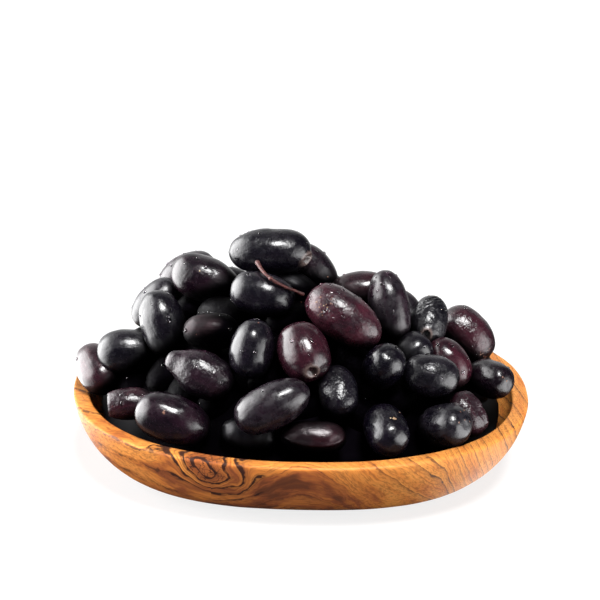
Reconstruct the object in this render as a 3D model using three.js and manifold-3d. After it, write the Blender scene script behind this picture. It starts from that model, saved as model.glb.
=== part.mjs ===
// A small oval dish, carved from one block of olive wood, with a high heap of dark olives in it
// and one thin stalk. Millimetres, +Z up. The origin is the middle of the dish's foot, on the
// table; +X runs along the length of the dish and -Y is its front.
import * as THREE from "three";
import { mergeVertices } from "three/addons/utils/BufferGeometryUtils.js";
import Module from "manifold-3d";

const wasm = await Module();
wasm.setup();

// ---- driving dimensions ------------------------------------------------------------------
const DISH_LENGTH = 153;
const DISH_WIDTH = 132;
const DISH_HEIGHT = 25;
const RIM_WIDTH = 5.5; // the flat band round the top of the wall
const RIM_ROUND = 1.4; // how far its two edges are rounded
const FOOT_INSET = 25; // how far the foot stands in from the rim, all round
const FLOOR_THICKNESS = 7;
const WELL_INSET = 24; // how far the inner floor stands in from the rim's inner edge
const OUTER_FULLNESS = 1.65; // 1 is a straight wall, 2 a round one
const INNER_FULLNESS = 1.8;
const RIM_SQUARENESS = 2.24; // 2 is an ellipse, more is squarer at the corners
const FOOT_SQUARENESS = 2.6;
const DISH_STEPS_ROUND = 60;
const WALL_STEPS = 8; // up the wall, outside and inside

const HEAP_TOP_X = -8; // where the crest of the heap is highest
const HEAP_TOP_Y = 0;
const HEAP_RISE = 40; // of the outer olives' middles, from the heap's edge to its top
const HEAP_EDGE_RISE = 3; // of the outermost olives' middles, over the rim
const HEAP_END_INSET = 5; // from the rim to the outermost middles, at the two ends
const HEAP_SIDE_INSET = 13; // and at the front and back
const FRONT_BULGE = 1.7; // 1 is a cone, 2 a dome
const BACK_BULGE = 1.35;
const CORE_DEPTH = 7; // of the bare core under the surface of the olives' middles
const CORE_RING_HEIGHT = 15; // where the core leaves the wall of the well
const CORE_STEPS_ROUND = 32;

const OLIVE_LENGTHS = [19.5, 25.5]; // of the olives that are placed by rule
const OLIVE_SLENDERNESS = [0.58, 0.66]; // their width as a share of their length
const OLIVE_SIDES = 8;
const OLIVE_RINGS = 6;
const OLIVE_BLUNTNESS = 0.94; // 1 is an ellipse, less has blunter ends
const STALK_THICKNESS = 1.2;
const STALK_KNOB = 2; // across the knob at its loose end
const GAP = 0.4; // between neighbours that touch

const HALF_LENGTH = DISH_LENGTH / 2;
const HALF_WIDTH = DISH_WIDTH / 2;
const WELL_DEPTH = DISH_HEIGHT - FLOOR_THICKNESS;
const CORNER = 1 - Math.SQRT1_2; // how far the middle of a quarter round stands off its corner

// ---- materials ---------------------------------------------------------------------------
const oliveWood = new THREE.MeshStandardMaterial({ color: 0xc08a4e, roughness: 0.45, metalness: 0 });
const oliveSkin = new THREE.MeshStandardMaterial({ color: 0x1d1118, roughness: 0.25, metalness: 0 });
const stalkWood = new THREE.MeshStandardMaterial({ color: 0x5b3536, roughness: 0.6, metalness: 0 });

// ---- solids ------------------------------------------------------------------------------
// A closed geometry as a solid that can be joined and cut.
function solidOf(geometry) {
  const bare = geometry.clone();
  bare.deleteAttribute("normal");
  bare.deleteAttribute("uv");
  const merged = mergeVertices(bare, 1e-4);
  return new wasm.Manifold(
    new wasm.Mesh({
      numProp: 3,
      vertProperties: new Float32Array(merged.attributes.position.array),
      triVerts: new Uint32Array(merged.index.array),
    }),
  );
}

function geometryOf(solid) {
  const mesh = solid.getMesh();
  const geometry = new THREE.BufferGeometry();
  geometry.setAttribute("position", new THREE.BufferAttribute(mesh.vertProperties, 3));
  geometry.setIndex(new THREE.BufferAttribute(mesh.triVerts, 1));
  geometry.computeVertexNormals();
  return geometry;
}

// ---- the dish's form ---------------------------------------------------------------------
// How far a wall has come in at a share of its depth: a quarter of a superellipse.
function wallInset(depthShare, inset, fullness) {
  const sine = Math.pow(THREE.MathUtils.clamp(depthShare, 0, 1), fullness / 2);
  const cosine = Math.sqrt(Math.max(0, 1 - sine * sine));
  return inset * (1 - Math.pow(cosine, 2 / fullness));
}

const squarenessAt = (depthShare) => THREE.MathUtils.lerp(RIM_SQUARENESS, FOOT_SQUARENESS, depthShare);

// The point of the oval that stands in by `inset` from the rim, in the direction `angle`.
function ovalPoint(angle, inset, squareness) {
  const bend = (value) => Math.sign(value) * Math.pow(Math.abs(value), 2 / squareness);
  return [(HALF_LENGTH - inset) * bend(Math.cos(angle)), (HALF_WIDTH - inset) * bend(Math.sin(angle))];
}

// The profile of the outer wall, from the foot up to the rim, as [inset, height].
function outerProfile() {
  const points = [];
  for (let i = 0; i <= WALL_STEPS; i++) {
    const depthShare = Math.pow(Math.cos((i / WALL_STEPS) * (Math.PI / 2)), 2 / OUTER_FULLNESS);
    points.push([wallInset(depthShare, FOOT_INSET, OUTER_FULLNESS), DISH_HEIGHT * (1 - depthShare)]);
  }
  return points;
}

// The profile of the well, from its rim down to its floor, kept `clearance` off the wood.
function wellProfile(clearance) {
  const points = [];
  for (let i = 0; i <= WALL_STEPS; i++) {
    const depthShare = Math.pow(Math.sin((i / WALL_STEPS) * (Math.PI / 2)), 2 / INNER_FULLNESS);
    const inset = RIM_WIDTH + clearance + wallInset(depthShare, WELL_INSET, INNER_FULLNESS);
    points.push([inset, DISH_HEIGHT - WELL_DEPTH * depthShare + clearance]);
  }
  return points;
}

// A closed skin through rings, each given as a function from an angle to a point. The first and
// the last ring are each one point, so that the skin closes there.
function ringSkin(rings, stepsRound) {
  const profile = rings.map((ring, i) => new THREE.Vector2(i % (rings.length - 1) === 0 ? 0 : 1, i));
  const geometry = new THREE.LatheGeometry(profile, stepsRound);
  const position = geometry.attributes.position;
  for (let i = 0; i < position.count; i++) {
    const angle = Math.floor(i / rings.length) * ((2 * Math.PI) / stepsRound);
    position.setXYZ(i, ...rings[i % rings.length](angle));
  }
  return geometry;
}

// The rings of the dish's ovals that a profile of [inset, height] gives.
function ovalRings(profile) {
  return profile.map(([inset, height]) => {
    const squareness = squarenessAt(THREE.MathUtils.clamp(1 - height / DISH_HEIGHT, 0, 1));
    return (angle) => [...ovalPoint(angle, inset, squareness), height];
  });
}

function buildDish() {
  const belowRim = ([, height]) => height < DISH_HEIGHT - 1.5 * RIM_ROUND;
  const roundedRim = [
    [0, DISH_HEIGHT - RIM_ROUND],
    [RIM_ROUND * CORNER, DISH_HEIGHT - RIM_ROUND * CORNER],
    [RIM_ROUND, DISH_HEIGHT],
    [RIM_WIDTH - RIM_ROUND, DISH_HEIGHT],
    [RIM_WIDTH - RIM_ROUND * CORNER, DISH_HEIGHT - RIM_ROUND * CORNER],
    [RIM_WIDTH, DISH_HEIGHT - RIM_ROUND],
  ];
  const profile = [
    ...outerProfile().filter(belowRim),
    ...roundedRim,
    ...wellProfile(0).filter(belowRim),
  ];
  const foot = () => [0, 0, 0];
  const floor = () => [0, 0, FLOOR_THICKNESS];
  return solidOf(ringSkin([foot, ...ovalRings(profile), floor], DISH_STEPS_ROUND));
}

// How far inside the wall of the well a point is, measured across.
function roomInWell(point) {
  if (point.z >= DISH_HEIGHT) return Infinity;
  if (point.z < FLOOR_THICKNESS) return point.z - FLOOR_THICKNESS;
  const depthShare = (DISH_HEIGHT - point.z) / WELL_DEPTH;
  const inset = RIM_WIDTH + wallInset(depthShare, WELL_INSET, INNER_FULLNESS);
  const power = squarenessAt(depthShare);
  const across = Math.abs(point.x) / (HALF_LENGTH - inset);
  const deep = Math.abs(point.y) / (HALF_WIDTH - inset);
  const reach = Math.pow(Math.pow(across, power) + Math.pow(deep, power), 1 / power);
  return (1 - reach) * (HALF_WIDTH - inset);
}

// ---- the heap's form ---------------------------------------------------------------------
// Half the length or width of the heap on the side of its top that a point lies on.
const heapReachX = (side) => HALF_LENGTH - HEAP_END_INSET - Math.sign(side) * HEAP_TOP_X;
const heapReachY = (side) => HALF_WIDTH - HEAP_SIDE_INSET - Math.sign(side) * HEAP_TOP_Y;

// The height of the surface that runs through the middles of the outer olives.
function heapHeight(x, y) {
  const u = (x - HEAP_TOP_X) / heapReachX(x > HEAP_TOP_X ? 1 : -1);
  const v = (y - HEAP_TOP_Y) / heapReachY(y > HEAP_TOP_Y ? 1 : -1);
  const out = Math.hypot(u, v);
  const backShare = v > 0 ? (v / out) ** 2 : 0;
  const bulge = THREE.MathUtils.lerp(FRONT_BULGE, BACK_BULGE, backShare);
  return DISH_HEIGHT + HEAP_EDGE_RISE + HEAP_RISE * (1 - Math.pow(out, bulge));
}

function heapNormal(x, y) {
  const step = 0.5;
  const slopeX = heapHeight(x + step, y) - heapHeight(x - step, y);
  const slopeY = heapHeight(x, y + step) - heapHeight(x, y - step);
  return new THREE.Vector3(-slopeX, -slopeY, 2 * step).normalize();
}

// The bare core: it fills the well, a gap off the wood, and rises under the olives.
function buildCore() {
  const well = wellProfile(GAP).filter(([, height]) => height <= CORE_RING_HEIGHT);
  const ringsOut = [1, 0.85, 0.7, 0.5, 0.3, 0];
  const underOlives = ringsOut.map((out) => (angle) => {
    const x = HEAP_TOP_X + out * Math.cos(angle) * heapReachX(Math.cos(angle));
    const y = HEAP_TOP_Y + out * Math.sin(angle) * heapReachY(Math.sin(angle));
    const normal = out === 0 ? new THREE.Vector3(0, 0, 1) : heapNormal(x, y);
    return new THREE.Vector3(x, y, heapHeight(x, y)).addScaledVector(normal, -CORE_DEPTH).toArray();
  });
  const floor = () => [0, 0, FLOOR_THICKNESS + GAP];
  return solidOf(ringSkin([floor, ...ovalRings(well.reverse()), ...underOlives], CORE_STEPS_ROUND));
}

// ---- olives ------------------------------------------------------------------------------
// The olives of the front, as [across, up, lift, turn, dip, length, width]. Across and up are on
// a board that leans back by BOARD_LEAN and stands on the middle of the rim. Each olive is slid
// from there along the line from the sight point until it meets the heap's surface, and comes
// back along it by its lift. Turn is in the board's plane; dip tips its far end to the front.
const BOARD_LEAN = THREE.MathUtils.degToRad(21);
const SIGHT_POINT = new THREE.Vector3(-1, -747, 343);
const FRONT_OLIVES = [
  [-11.5, 45, 2, 2, 0, 27.5, 15.6],
  [3, 38.5, -11, -48, -10, 21, 14.3],
  [-33, 35, 1, -20, 5, 24, 15.5],
  [-39, 36.5, -16, 34, 0, 21, 14.5],
  [-13.5, 30.5, 1, -12, 5, 21.5, 14.5],
  [14, 23.5, 4, -33, 5, 27.5, 16],
  [29, 27.5, 1, -79, 5, 24.5, 13.7],
  [18, 32.5, -10, 10, 0, 20, 13],
  [42.5, 22.5, 1, 76, -25, 19.5, 12.8],
  [55.5, 18.5, 0, -45, 0, 21.5, 16.5],
  [49.5, 9, -4, -55, 0, 18, 13.5],
  [44, 4.5, 4, -5, 0, 18.5, 14],
  [63.5, 4, 2, -15, 45, 18, 12.6],
  [27.5, 7, 2, 60, 55, 18, 13.4],
  [56.5, -8, 0, -60, 0, 15.5, 11.5],
  [48.5, -12.5, 2, 10, 50, 20, 14.4],
  [29, -14, 2, -65, 50, 19.5, 14.2],
  [4.5, -17.5, 0, 0, 0, 21, 12],
  [-9.5, -7, 6, 28, 0, 25.5, 14.8],
  [-17, -17, -5, -8, 0, 19, 11.5],
  [-43, -12.5, 2, -18, 0, 25, 15.5],
  [-56.5, -7.5, -3, 5, 0, 16, 10.5],
  [-69, 4, 3, -55, 40, 20, 14],
  [-59, 10, -2, 5, 0, 20, 15],
  [-47.5, 21, 3, -72, 0, 20.5, 15.2],
  [-49.5, 26.5, -3, 45, 0, 20, 13.5],
  [-34.5, 3.5, 1, -25, 0, 23.5, 14.8],
  [-17, 12, 2, 80, 0, 19.5, 14.2],
  [0.5, 11.5, 4, -65, 20, 20, 16.5],
  [-31, 17.5, -2, 0, 0, 18, 12.5],
  [12.5, -1.5, -1, -80, 30, 18, 12.8],
  [36.5, 11.5, -8, 40, 0, 16, 13],
  [-3.5, 32, -13, -30, 0, 18, 13],
  [34, 25, -10, -55, 0, 19, 13],
];

// The board's axes: across, up the board, and out of its front.
const BOARD_ACROSS = new THREE.Vector3(1, 0, 0);
const BOARD_UP = new THREE.Vector3(0, Math.sin(BOARD_LEAN), Math.cos(BOARD_LEAN));
const BOARD_OUT = new THREE.Vector3(0, -Math.cos(BOARD_LEAN), Math.sin(BOARD_LEAN));
const BOARD_FOOT = new THREE.Vector3(0, 0, DISH_HEIGHT);

// The point of a sight line that is on the heap's surface, or passes nearest to it.
function seat(across, up, lift) {
  const start = BOARD_FOOT.clone().addScaledVector(BOARD_ACROSS, across).addScaledVector(BOARD_UP, up);
  const sight = start.clone().sub(SIGHT_POINT).normalize();
  const step = 0.25;
  const reach = 110;
  let nearest = Infinity;
  let best = 0;
  for (let slide = -reach; slide < reach && nearest > 0; slide += step) {
    const point = start.clone().addScaledVector(sight, slide);
    const over = point.z - heapHeight(point.x, point.y);
    if (over < nearest) {
      nearest = over;
      best = slide;
    }
  }
  return start.addScaledVector(sight, best - lift);
}

function frontOlive([across, up, lift, turn, dip, length, width]) {
  const turned = THREE.MathUtils.degToRad(turn);
  const dipped = THREE.MathUtils.degToRad(dip);
  const axis = new THREE.Vector3()
    .addScaledVector(BOARD_ACROSS, Math.cos(dipped) * Math.cos(turned))
    .addScaledVector(BOARD_UP, Math.cos(dipped) * Math.sin(turned))
    .addScaledVector(BOARD_OUT, Math.sin(dipped));
  const middle = seat(across, up, lift);
  return withBalls({ middle, axis, halfLength: length / 2, halfWidth: width / 2 });
}

// An olive with balls in it, along its length, that touch its skin all round.
function withBalls(olive) {
  const { middle, axis, halfLength, halfWidth } = olive;
  const focus = halfLength ** 2 - halfWidth ** 2;
  const balls = [-1, -0.5, 0, 0.5, 1].map((share) => {
    const along = (share * focus) / halfLength;
    return {
      middle: middle.clone().addScaledVector(axis, along),
      radius: halfWidth * Math.sqrt(1 - along ** 2 / focus),
    };
  });
  return { ...olive, balls };
}

function gapBetween(one, other) {
  let least = Infinity;
  for (const a of one.balls) {
    for (const b of other.balls) {
      least = Math.min(least, a.middle.distanceTo(b.middle) - a.radius - b.radius);
    }
  }
  return least;
}

// The least room that an olive leaves to the wall and the floor of the well.
function gapToDish(olive) {
  const tilts = [-90, -75, -60, -45, -30, -15, 0, 15, 30];
  let least = Infinity;
  for (const { middle, radius } of olive.balls) {
    const outward = new THREE.Vector3(middle.x / HALF_LENGTH, middle.y / HALF_WIDTH, 0).normalize();
    for (const tilt of tilts) {
      const angle = THREE.MathUtils.degToRad(tilt);
      const point = middle.clone().addScaledVector(outward, radius * Math.cos(angle));
      point.z += radius * Math.sin(angle);
      least = Math.min(least, roomInWell(point));
    }
  }
  return least;
}

// Where the balls of an olive appear on the board from the sight point, how large, and how far off.
function discsOnBoard(olive) {
  return olive.balls.map(({ middle, radius }) => {
    const sight = middle.clone().sub(SIGHT_POINT);
    const away = -sight.dot(BOARD_OUT);
    const scale = SIGHT_POINT.clone().sub(BOARD_FOOT).dot(BOARD_OUT) / away;
    const spot = sight.multiplyScalar(scale).add(SIGHT_POINT).sub(BOARD_FOOT);
    return { across: spot.dot(BOARD_ACROSS), up: spot.dot(BOARD_UP), radius: radius * scale, away };
  });
}

// Points round each ball of an olive, as seen on the board.
function outlineOnBoard(olive) {
  const turns = [0, 45, 90, 135, 180, 225, 270, 315].map(THREE.MathUtils.degToRad);
  return discsOnBoard(olive).flatMap(({ across, up, radius, away }) =>
    turns.map((turn) => {
      return { across: across + radius * Math.cos(turn), up: up + radius * Math.sin(turn), away };
    }),
  );
}

// Whether an olive shows over the upper outline that discs have on the board.
function standsOut(olive, discs) {
  return outlineOnBoard(olive).some(({ across, up }) => {
    const near = discs.filter((disc) => Math.abs(across - disc.across) < disc.radius);
    return near.every((disc) => up >= disc.up + Math.sqrt(disc.radius ** 2 - (across - disc.across) ** 2));
  });
}

// How much of an olive's outline lies behind discs on the board.
function hiddenShare(olive, discs) {
  const outline = outlineOnBoard(olive);
  const isBehind = (point, disc) =>
    disc.away < point.away && Math.hypot(point.across - disc.across, point.up - disc.up) < disc.radius;
  return outline.filter((point) => discs.some((disc) => isBehind(point, disc))).length / outline.length;
}

// Chance draws by a linear congruential rule, the same on every run.
const DRAW_FACTOR = 1664525;
const DRAW_STEP = 1013904223;
const DRAW_SEED = 7;
let drawState = DRAW_SEED;
function draw(low, high) {
  drawState = (Math.imul(drawState, DRAW_FACTOR) + DRAW_STEP) >>> 0;
  return low + ((high - low) * drawState) / 2 ** 32;
}

// More olives on a surface that lies `depth` under the heap's own, tried one after the other
// along a spiral out from the heap's top. Two that press on each other may share `squeeze` of
// their thickness. An olive is skipped if it finds no room, if it would show over the front ones,
// or if less of it than `leastHidden` lies behind them.
const GOLDEN_TURN = Math.PI * (3 - Math.sqrt(5));
const MOST_DIP = 0.35;
const DEPTH_SPREAD = 1;
const BACK_EDGE = HEAP_TOP_Y + 8; // the back of the heap begins here
const LAYERS = [
  { tries: 1500, depth: 3, squeeze: 1.2, reach: 1, onBack: true, leastHidden: 0 },
  { tries: 3000, depth: 7, squeeze: 2.2, reach: 0.98, onBack: true, leastHidden: 0 },
  { tries: 3000, depth: 5, squeeze: 2.2, reach: 0.98, onBack: false, leastHidden: 0.95 },
  { tries: 3000, depth: 11, squeeze: 2.2, reach: 0.95, onBack: false, leastHidden: 0 },
];

function addLayer(placed, frontDiscs, { tries, depth, squeeze, reach, onBack, leastHidden }) {
  for (let i = 0; i < tries; i++) {
    const out = reach * Math.sqrt((i + 0.5) / tries);
    const angle = i * GOLDEN_TURN;
    const x = HEAP_TOP_X + out * Math.cos(angle) * heapReachX(Math.cos(angle));
    const y = HEAP_TOP_Y + out * Math.sin(angle) * heapReachY(Math.sin(angle));
    const turn = draw(0, Math.PI);
    const dip = draw(-MOST_DIP, MOST_DIP);
    const halfLength = draw(...OLIVE_LENGTHS) / 2;
    const halfWidth = halfLength * draw(...OLIVE_SLENDERNESS);
    const sink = depth + draw(-DEPTH_SPREAD, DEPTH_SPREAD);
    if (y > BACK_EDGE !== onBack) continue;
    const normal = heapNormal(x, y);
    const downhill = new THREE.Vector3().crossVectors(normal, new THREE.Vector3(0, 1, 0)).normalize();
    const level = new THREE.Vector3().crossVectors(normal, downhill);
    const axis = new THREE.Vector3()
      .addScaledVector(downhill, Math.cos(dip) * Math.cos(turn))
      .addScaledVector(level, Math.cos(dip) * Math.sin(turn))
      .addScaledVector(normal, Math.sin(dip));
    const middle = new THREE.Vector3(x, y, heapHeight(x, y)).addScaledVector(normal, -sink);
    const olive = withBalls({ middle, axis, halfLength, halfWidth });
    if (gapToDish(olive) < GAP) continue;
    if (placed.some((other) => gapBetween(olive, other) < -squeeze)) continue;
    if (standsOut(olive, frontDiscs) || hiddenShare(olive, frontDiscs) < leastHidden) continue;
    placed.push(olive);
  }
}

function placeOlives() {
  const placed = FRONT_OLIVES.map(frontOlive);
  const frontDiscs = placed.flatMap(discsOnBoard);
  for (const layer of LAYERS) addLayer(placed, frontDiscs, layer);
  return placed;
}

// The skin of one olive: an oval a little blunter than an ellipse, turned round its length.
function oliveGeometry({ middle, axis, halfLength, halfWidth }) {
  const profile = [];
  for (let i = 0; i <= OLIVE_RINGS; i++) {
    const angle = (i / OLIVE_RINGS - 0.5) * Math.PI;
    const radius = i % OLIVE_RINGS === 0 ? 0 : halfWidth * Math.pow(Math.cos(angle), OLIVE_BLUNTNESS);
    profile.push(new THREE.Vector2(radius, halfLength * Math.sin(angle)));
  }
  const turn = new THREE.Quaternion().setFromUnitVectors(new THREE.Vector3(0, 1, 0), axis);
  return new THREE.LatheGeometry(profile, OLIVE_SIDES)
    .applyQuaternion(turn)
    .translate(middle.x, middle.y, middle.z);
}

function buildHeap(olives) {
  const heap = olives.reduce((sum, olive) => sum.add(solidOf(oliveGeometry(olive))), buildCore());
  const bodies = heap.decompose().sort((a, b) => b.volume() - a.volume());
  return bodies[0];
}

// ---- stalk -------------------------------------------------------------------------------
// The route of the stalk as [across, up, lift] on the board, from its loose end to the olive.
const STALK_ROUTE = [
  [-15.8, 41.2, 17],
  [-14, 38.5, 15.5],
  [-12, 36.5, 13.7],
  [-9, 34.6, 11.3],
  [-6, 33.2, 9],
  [-3, 32, 6.6],
  [0.2, 30.8, 5],
];

function buildStalk() {
  const route = new THREE.CatmullRomCurve3(STALK_ROUTE.map((row) => seat(...row)));
  const section = new THREE.Shape();
  section.absarc(0, 0, STALK_THICKNESS / 2, 0, 2 * Math.PI);
  const tube = new THREE.ExtrudeGeometry(section, { extrudePath: route, steps: 14, curveSegments: 4 });
  const knob = new THREE.SphereGeometry(STALK_KNOB / 2, 8, 6).translate(...route.getPoint(0).toArray());
  return solidOf(tube).add(solidOf(knob));
}

// ---- the part ----------------------------------------------------------------------------
function pieceOf(name, solid, material) {
  const mesh = new THREE.Mesh(geometryOf(solid), material);
  mesh.name = name;
  return mesh;
}

const olives = placeOlives();
const part = new THREE.Group();
part.add(pieceOf("dish", buildDish(), oliveWood));
part.add(pieceOf("olive_heap", buildHeap(olives), oliveSkin));
part.add(pieceOf("stalk", buildStalk(), stalkWood));

export default part;
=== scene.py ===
# %% [markdown]
# # A dish of olives
# A small oval dish, carved from one block of olive wood, holds a high heap of dark table olives.
# The CAD model already sets every size: the dish, one solid for the heap, and a thin stalk. This
# lesson replaces those plain solids by pieces that look like wood, wet olive skin and brine, and
# keeps each of them where its solid stands.

# %% Load the frame
import math

import bmesh
import bpy
import numpy as np
from mathutils import Matrix, Quaternion, Vector


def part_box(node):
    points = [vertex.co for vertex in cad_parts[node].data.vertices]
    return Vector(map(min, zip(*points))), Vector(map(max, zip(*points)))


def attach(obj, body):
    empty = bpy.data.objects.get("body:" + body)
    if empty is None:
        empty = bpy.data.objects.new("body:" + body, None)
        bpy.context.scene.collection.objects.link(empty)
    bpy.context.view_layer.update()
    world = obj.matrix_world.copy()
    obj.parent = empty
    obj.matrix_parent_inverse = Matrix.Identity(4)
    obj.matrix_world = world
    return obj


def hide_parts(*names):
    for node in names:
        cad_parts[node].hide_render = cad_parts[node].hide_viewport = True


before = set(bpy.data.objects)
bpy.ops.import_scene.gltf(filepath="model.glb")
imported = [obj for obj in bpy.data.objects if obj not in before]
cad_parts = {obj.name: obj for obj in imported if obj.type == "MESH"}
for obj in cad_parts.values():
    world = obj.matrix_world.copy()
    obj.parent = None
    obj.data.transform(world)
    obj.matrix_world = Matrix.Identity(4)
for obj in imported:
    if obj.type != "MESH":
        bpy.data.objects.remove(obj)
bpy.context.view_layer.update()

MM = 0.001
print("CAD nodes:", sorted(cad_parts))

# %% [markdown]
# ## Camera
# The dish is seen from its front, a little from above. A long lens from far away keeps the oval
# of the rim flat and calm, as in product pictures. The camera is rolled by a degree or so, as a
# hand-held one is, so that the right end of the dish sits a little lower.

# %% Camera
LOOK_DOWN = math.radians(21)
CAMERA_ROLL = math.radians(1.45)
CAMERA_DISTANCE = 800 * MM
CAMERA_TARGET = Vector((-1.1, 0, 56)) * MM
LENS = 144

sight = Vector((0, math.cos(LOOK_DOWN), -math.sin(LOOK_DOWN)))
camera_data = bpy.data.cameras.new("camera")
camera_data.lens = LENS
camera = bpy.data.objects.new("camera", camera_data)
bpy.context.scene.collection.objects.link(camera)
facing = Matrix.Rotation(math.pi / 2 - LOOK_DOWN, 4, "X") @ Matrix.Rotation(CAMERA_ROLL, 4, "Z")
camera.matrix_world = Matrix.Translation(CAMERA_TARGET - sight * CAMERA_DISTANCE) @ facing
bpy.context.scene.camera = camera
print("camera at", [round(value, 3) for value in camera.matrix_world.translation])

# %% [markdown]
# ## Writing materials
# A material is a small machine of nodes, which is long to wire by hand in a script. Two classes
# help. Wiring adds nodes to a tree, one at a time. What it returns is a Value, the output of a
# node, and sums and products of Values add the nodes that work them out.

# %% Helpers for node trees
WHITE = (1, 1, 1, 1)


class Value:
    """The output of a node, which can be reckoned with like a number."""

    def __init__(self, wiring, socket):
        self.wiring, self.socket = wiring, socket

    def math(self, operation, *others):
        return self.wiring.add("Math", dict(enumerate((self, *others))), operation=operation)

    def __add__(self, other):
        return self.math("ADD", other)

    def __sub__(self, other):
        return self.math("SUBTRACT", other)

    def __rsub__(self, other):
        return self.wiring.add("Math", {0: other, 1: self}, operation="SUBTRACT")

    def __mul__(self, other):
        return self.math("MULTIPLY", other)

    def __truediv__(self, other):
        return self.math("DIVIDE", other)

    def vector(self, operation, other=(0, 0, 0), **more):
        """Vector arithmetic. A length or a dot product comes out as a plain number."""
        output = "Value" if operation in ("LENGTH", "DOT_PRODUCT") else "Vector"
        return self.wiring.add("VectorMath", {0: self, 1: other, **more}, output, operation=operation)

    def spread(self, low, high, to_low=0.0, to_high=1.0):
        """Maps a range of values smoothly to another one."""
        inputs = dict(enumerate((self, low, high, to_low, to_high)))
        return self.wiring.add("MapRange", inputs, interpolation_type="SMOOTHSTEP")


# %% The class that adds nodes
class Wiring:
    """Adds nodes to a tree."""

    def __init__(self, tree):
        self.tree = tree

    def feed(self, node, inputs):
        """Links Values to inputs of a node, by number or name, and sets what is constant."""
        for key, value in inputs.items():
            if isinstance(value, Value):
                self.tree.links.new(value.socket, node.inputs[key])
            else:
                node.inputs[key].default_value = value
        return node

    def node(self, kind, inputs=None, **settings):
        made = self.tree.nodes.new("ShaderNode" + kind)
        for key, value in settings.items():
            setattr(made, key, value)
        return self.feed(made, inputs or {})

    def add(self, kind, inputs=None, output=0, **settings):
        """Adds a node and returns one of its outputs."""
        return Value(self, self.node(kind, inputs, **settings).outputs[output])

    def choose(self, share, first, second):
        """The first number where the share is 0, the second where it is 1."""
        return self.add("Mix", {0: share, 2: first, 3: second})

    def paint(self, colour, *layers):
        """A colour with others laid over it, each given as (share, colour)."""
        for share, over in layers:
            colour = self.add("Mix", {0: share, 6: colour, 7: over}, 2, data_type="RGBA")
        return colour

    def colours(self, value, stops):
        """A colour ramp through stops of (position, colour)."""
        made = self.node("ValToRGB", {0: value})
        while len(made.color_ramp.elements) < len(stops):
            made.color_ramp.elements.new(0.5)
        for element, (position, colour) in zip(made.color_ramp.elements, stops):
            element.position, element.color = position, colour
        return Value(self, made.outputs[0])

    def noise(self, place, scale, detail=3.0, roughness=0.6):
        inputs = {"Vector": place, "Scale": scale, "Detail": detail, "Roughness": roughness}
        return self.add("TexNoise", inputs)

    def bump(self, height, depth, normal=None):
        """Relief of a real depth, in metres, from a height between 0 and 1."""
        inputs = {"Height": height, "Strength": 1.0, "Distance": depth}
        return self.add("Bump", inputs if normal is None else {**inputs, "Normal": normal})

    def parts(self, vector):
        return [Value(self, socket) for socket in self.node("SeparateXYZ", {0: vector}).outputs]

    def point(self, x, y, z):
        return self.add("CombineXYZ", {0: x, 1: y, 2: z})

    def ray(self, kind):
        """1 for rays of a kind, such as those of the camera, and 0 for others."""
        return self.add("LightPath", output="Is " + kind + " Ray")

    def millimetres(self):
        """The place on the object in millimetres."""
        return self.add("TexCoord", output="Object").vector("SCALE", Scale=1 / MM)

    def group(self, tree, place, **numbers):
        """What a node group makes of a place and some numbers."""
        return self.add("Group", {"Place": place, **numbers}, node_tree=tree)


# %% Empty materials and node groups
def new_material(name):
    """A material with its Wiring and its Principled BSDF."""
    material = bpy.data.materials.new(name)
    material.use_nodes = True
    return material, Wiring(material.node_tree), material.node_tree.nodes["Principled BSDF"]


def new_group(name, *numbers):
    """The Wiring of a node group that takes a place and some numbers, and these as Values."""
    tree = bpy.data.node_groups.new(name, "ShaderNodeTree")
    for socket in ("Place", *numbers):
        kind = "NodeSocketVector" if socket == "Place" else "NodeSocketFloat"
        tree.interface.new_socket(socket, in_out="INPUT", socket_type=kind)
    tree.interface.new_socket("Value", in_out="OUTPUT", socket_type="NodeSocketFloat")
    wiring = Wiring(tree)
    given = tree.nodes.new("NodeGroupInput").outputs
    return wiring, *(Value(wiring, given[socket]) for socket in ("Place", *numbers))


def close_group(wiring, value):
    """Makes a Value the output of a node group, and returns the group."""
    wiring.feed(wiring.tree.nodes.new("NodeGroupOutput"), {"Value": value})
    return wiring.tree


# %% [markdown]
# ## Light
# Dark, glossy things show the lamps more than their own colour, so each lamp is placed by the
# highlight that it draws. A broad sun, as soft as a lamp behind cloth, stands high over the front
# and gives every olive its small bright highlight near the top. Two softboxes at the left and the
# right light the wood. They are kept out of reflections, where their hard edges would show.

# %% Lamps
def add_lamp(name, kind, direction, distance, **settings):
    """A lamp that stands in a direction from the heap and faces it."""
    lamp = bpy.data.lights.new(name, kind)
    for key, value in settings.items():
        setattr(lamp, key, value)
    holder = bpy.data.objects.new(name, lamp)
    bpy.context.scene.collection.objects.link(holder)
    away = Vector(direction).normalized()
    turn = away.to_track_quat("Z", "Y").to_matrix().to_4x4()
    holder.matrix_world = Matrix.Translation(CAMERA_TARGET + away * distance) @ turn
    holder.visible_camera = False
    holder.visible_glossy = kind == "SUN"


add_lamp("soft_sun", "SUN", (0.13, -0.38, 0.91), 1.0, energy=4.6, angle=math.radians(18))
add_lamp("left_softbox", "AREA", (-0.95, -0.20, 0.20), 0.80,
         shape="RECTANGLE", size=0.70, size_y=0.85, energy=14.5)
add_lamp("right_softbox", "AREA", (0.93, -0.34, 0.02), 0.80,
         shape="RECTANGLE", size=0.55, size_y=0.45, energy=8.0)

# %% [markdown]
# ## Room
# Olives only look black where the room in front of them is dark, while the view itself falls on
# white. The Light Path node tells the rays of the view apart from those of reflections. To these
# the room is dim, with three soft glows: a bright one at the left and behind, which is the sheen on
# the left cheeks; a small one at the right for the lower right ones; and a pale sweep behind the
# dish, which draws the thin pale rim along the upper edge of every olive.

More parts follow.
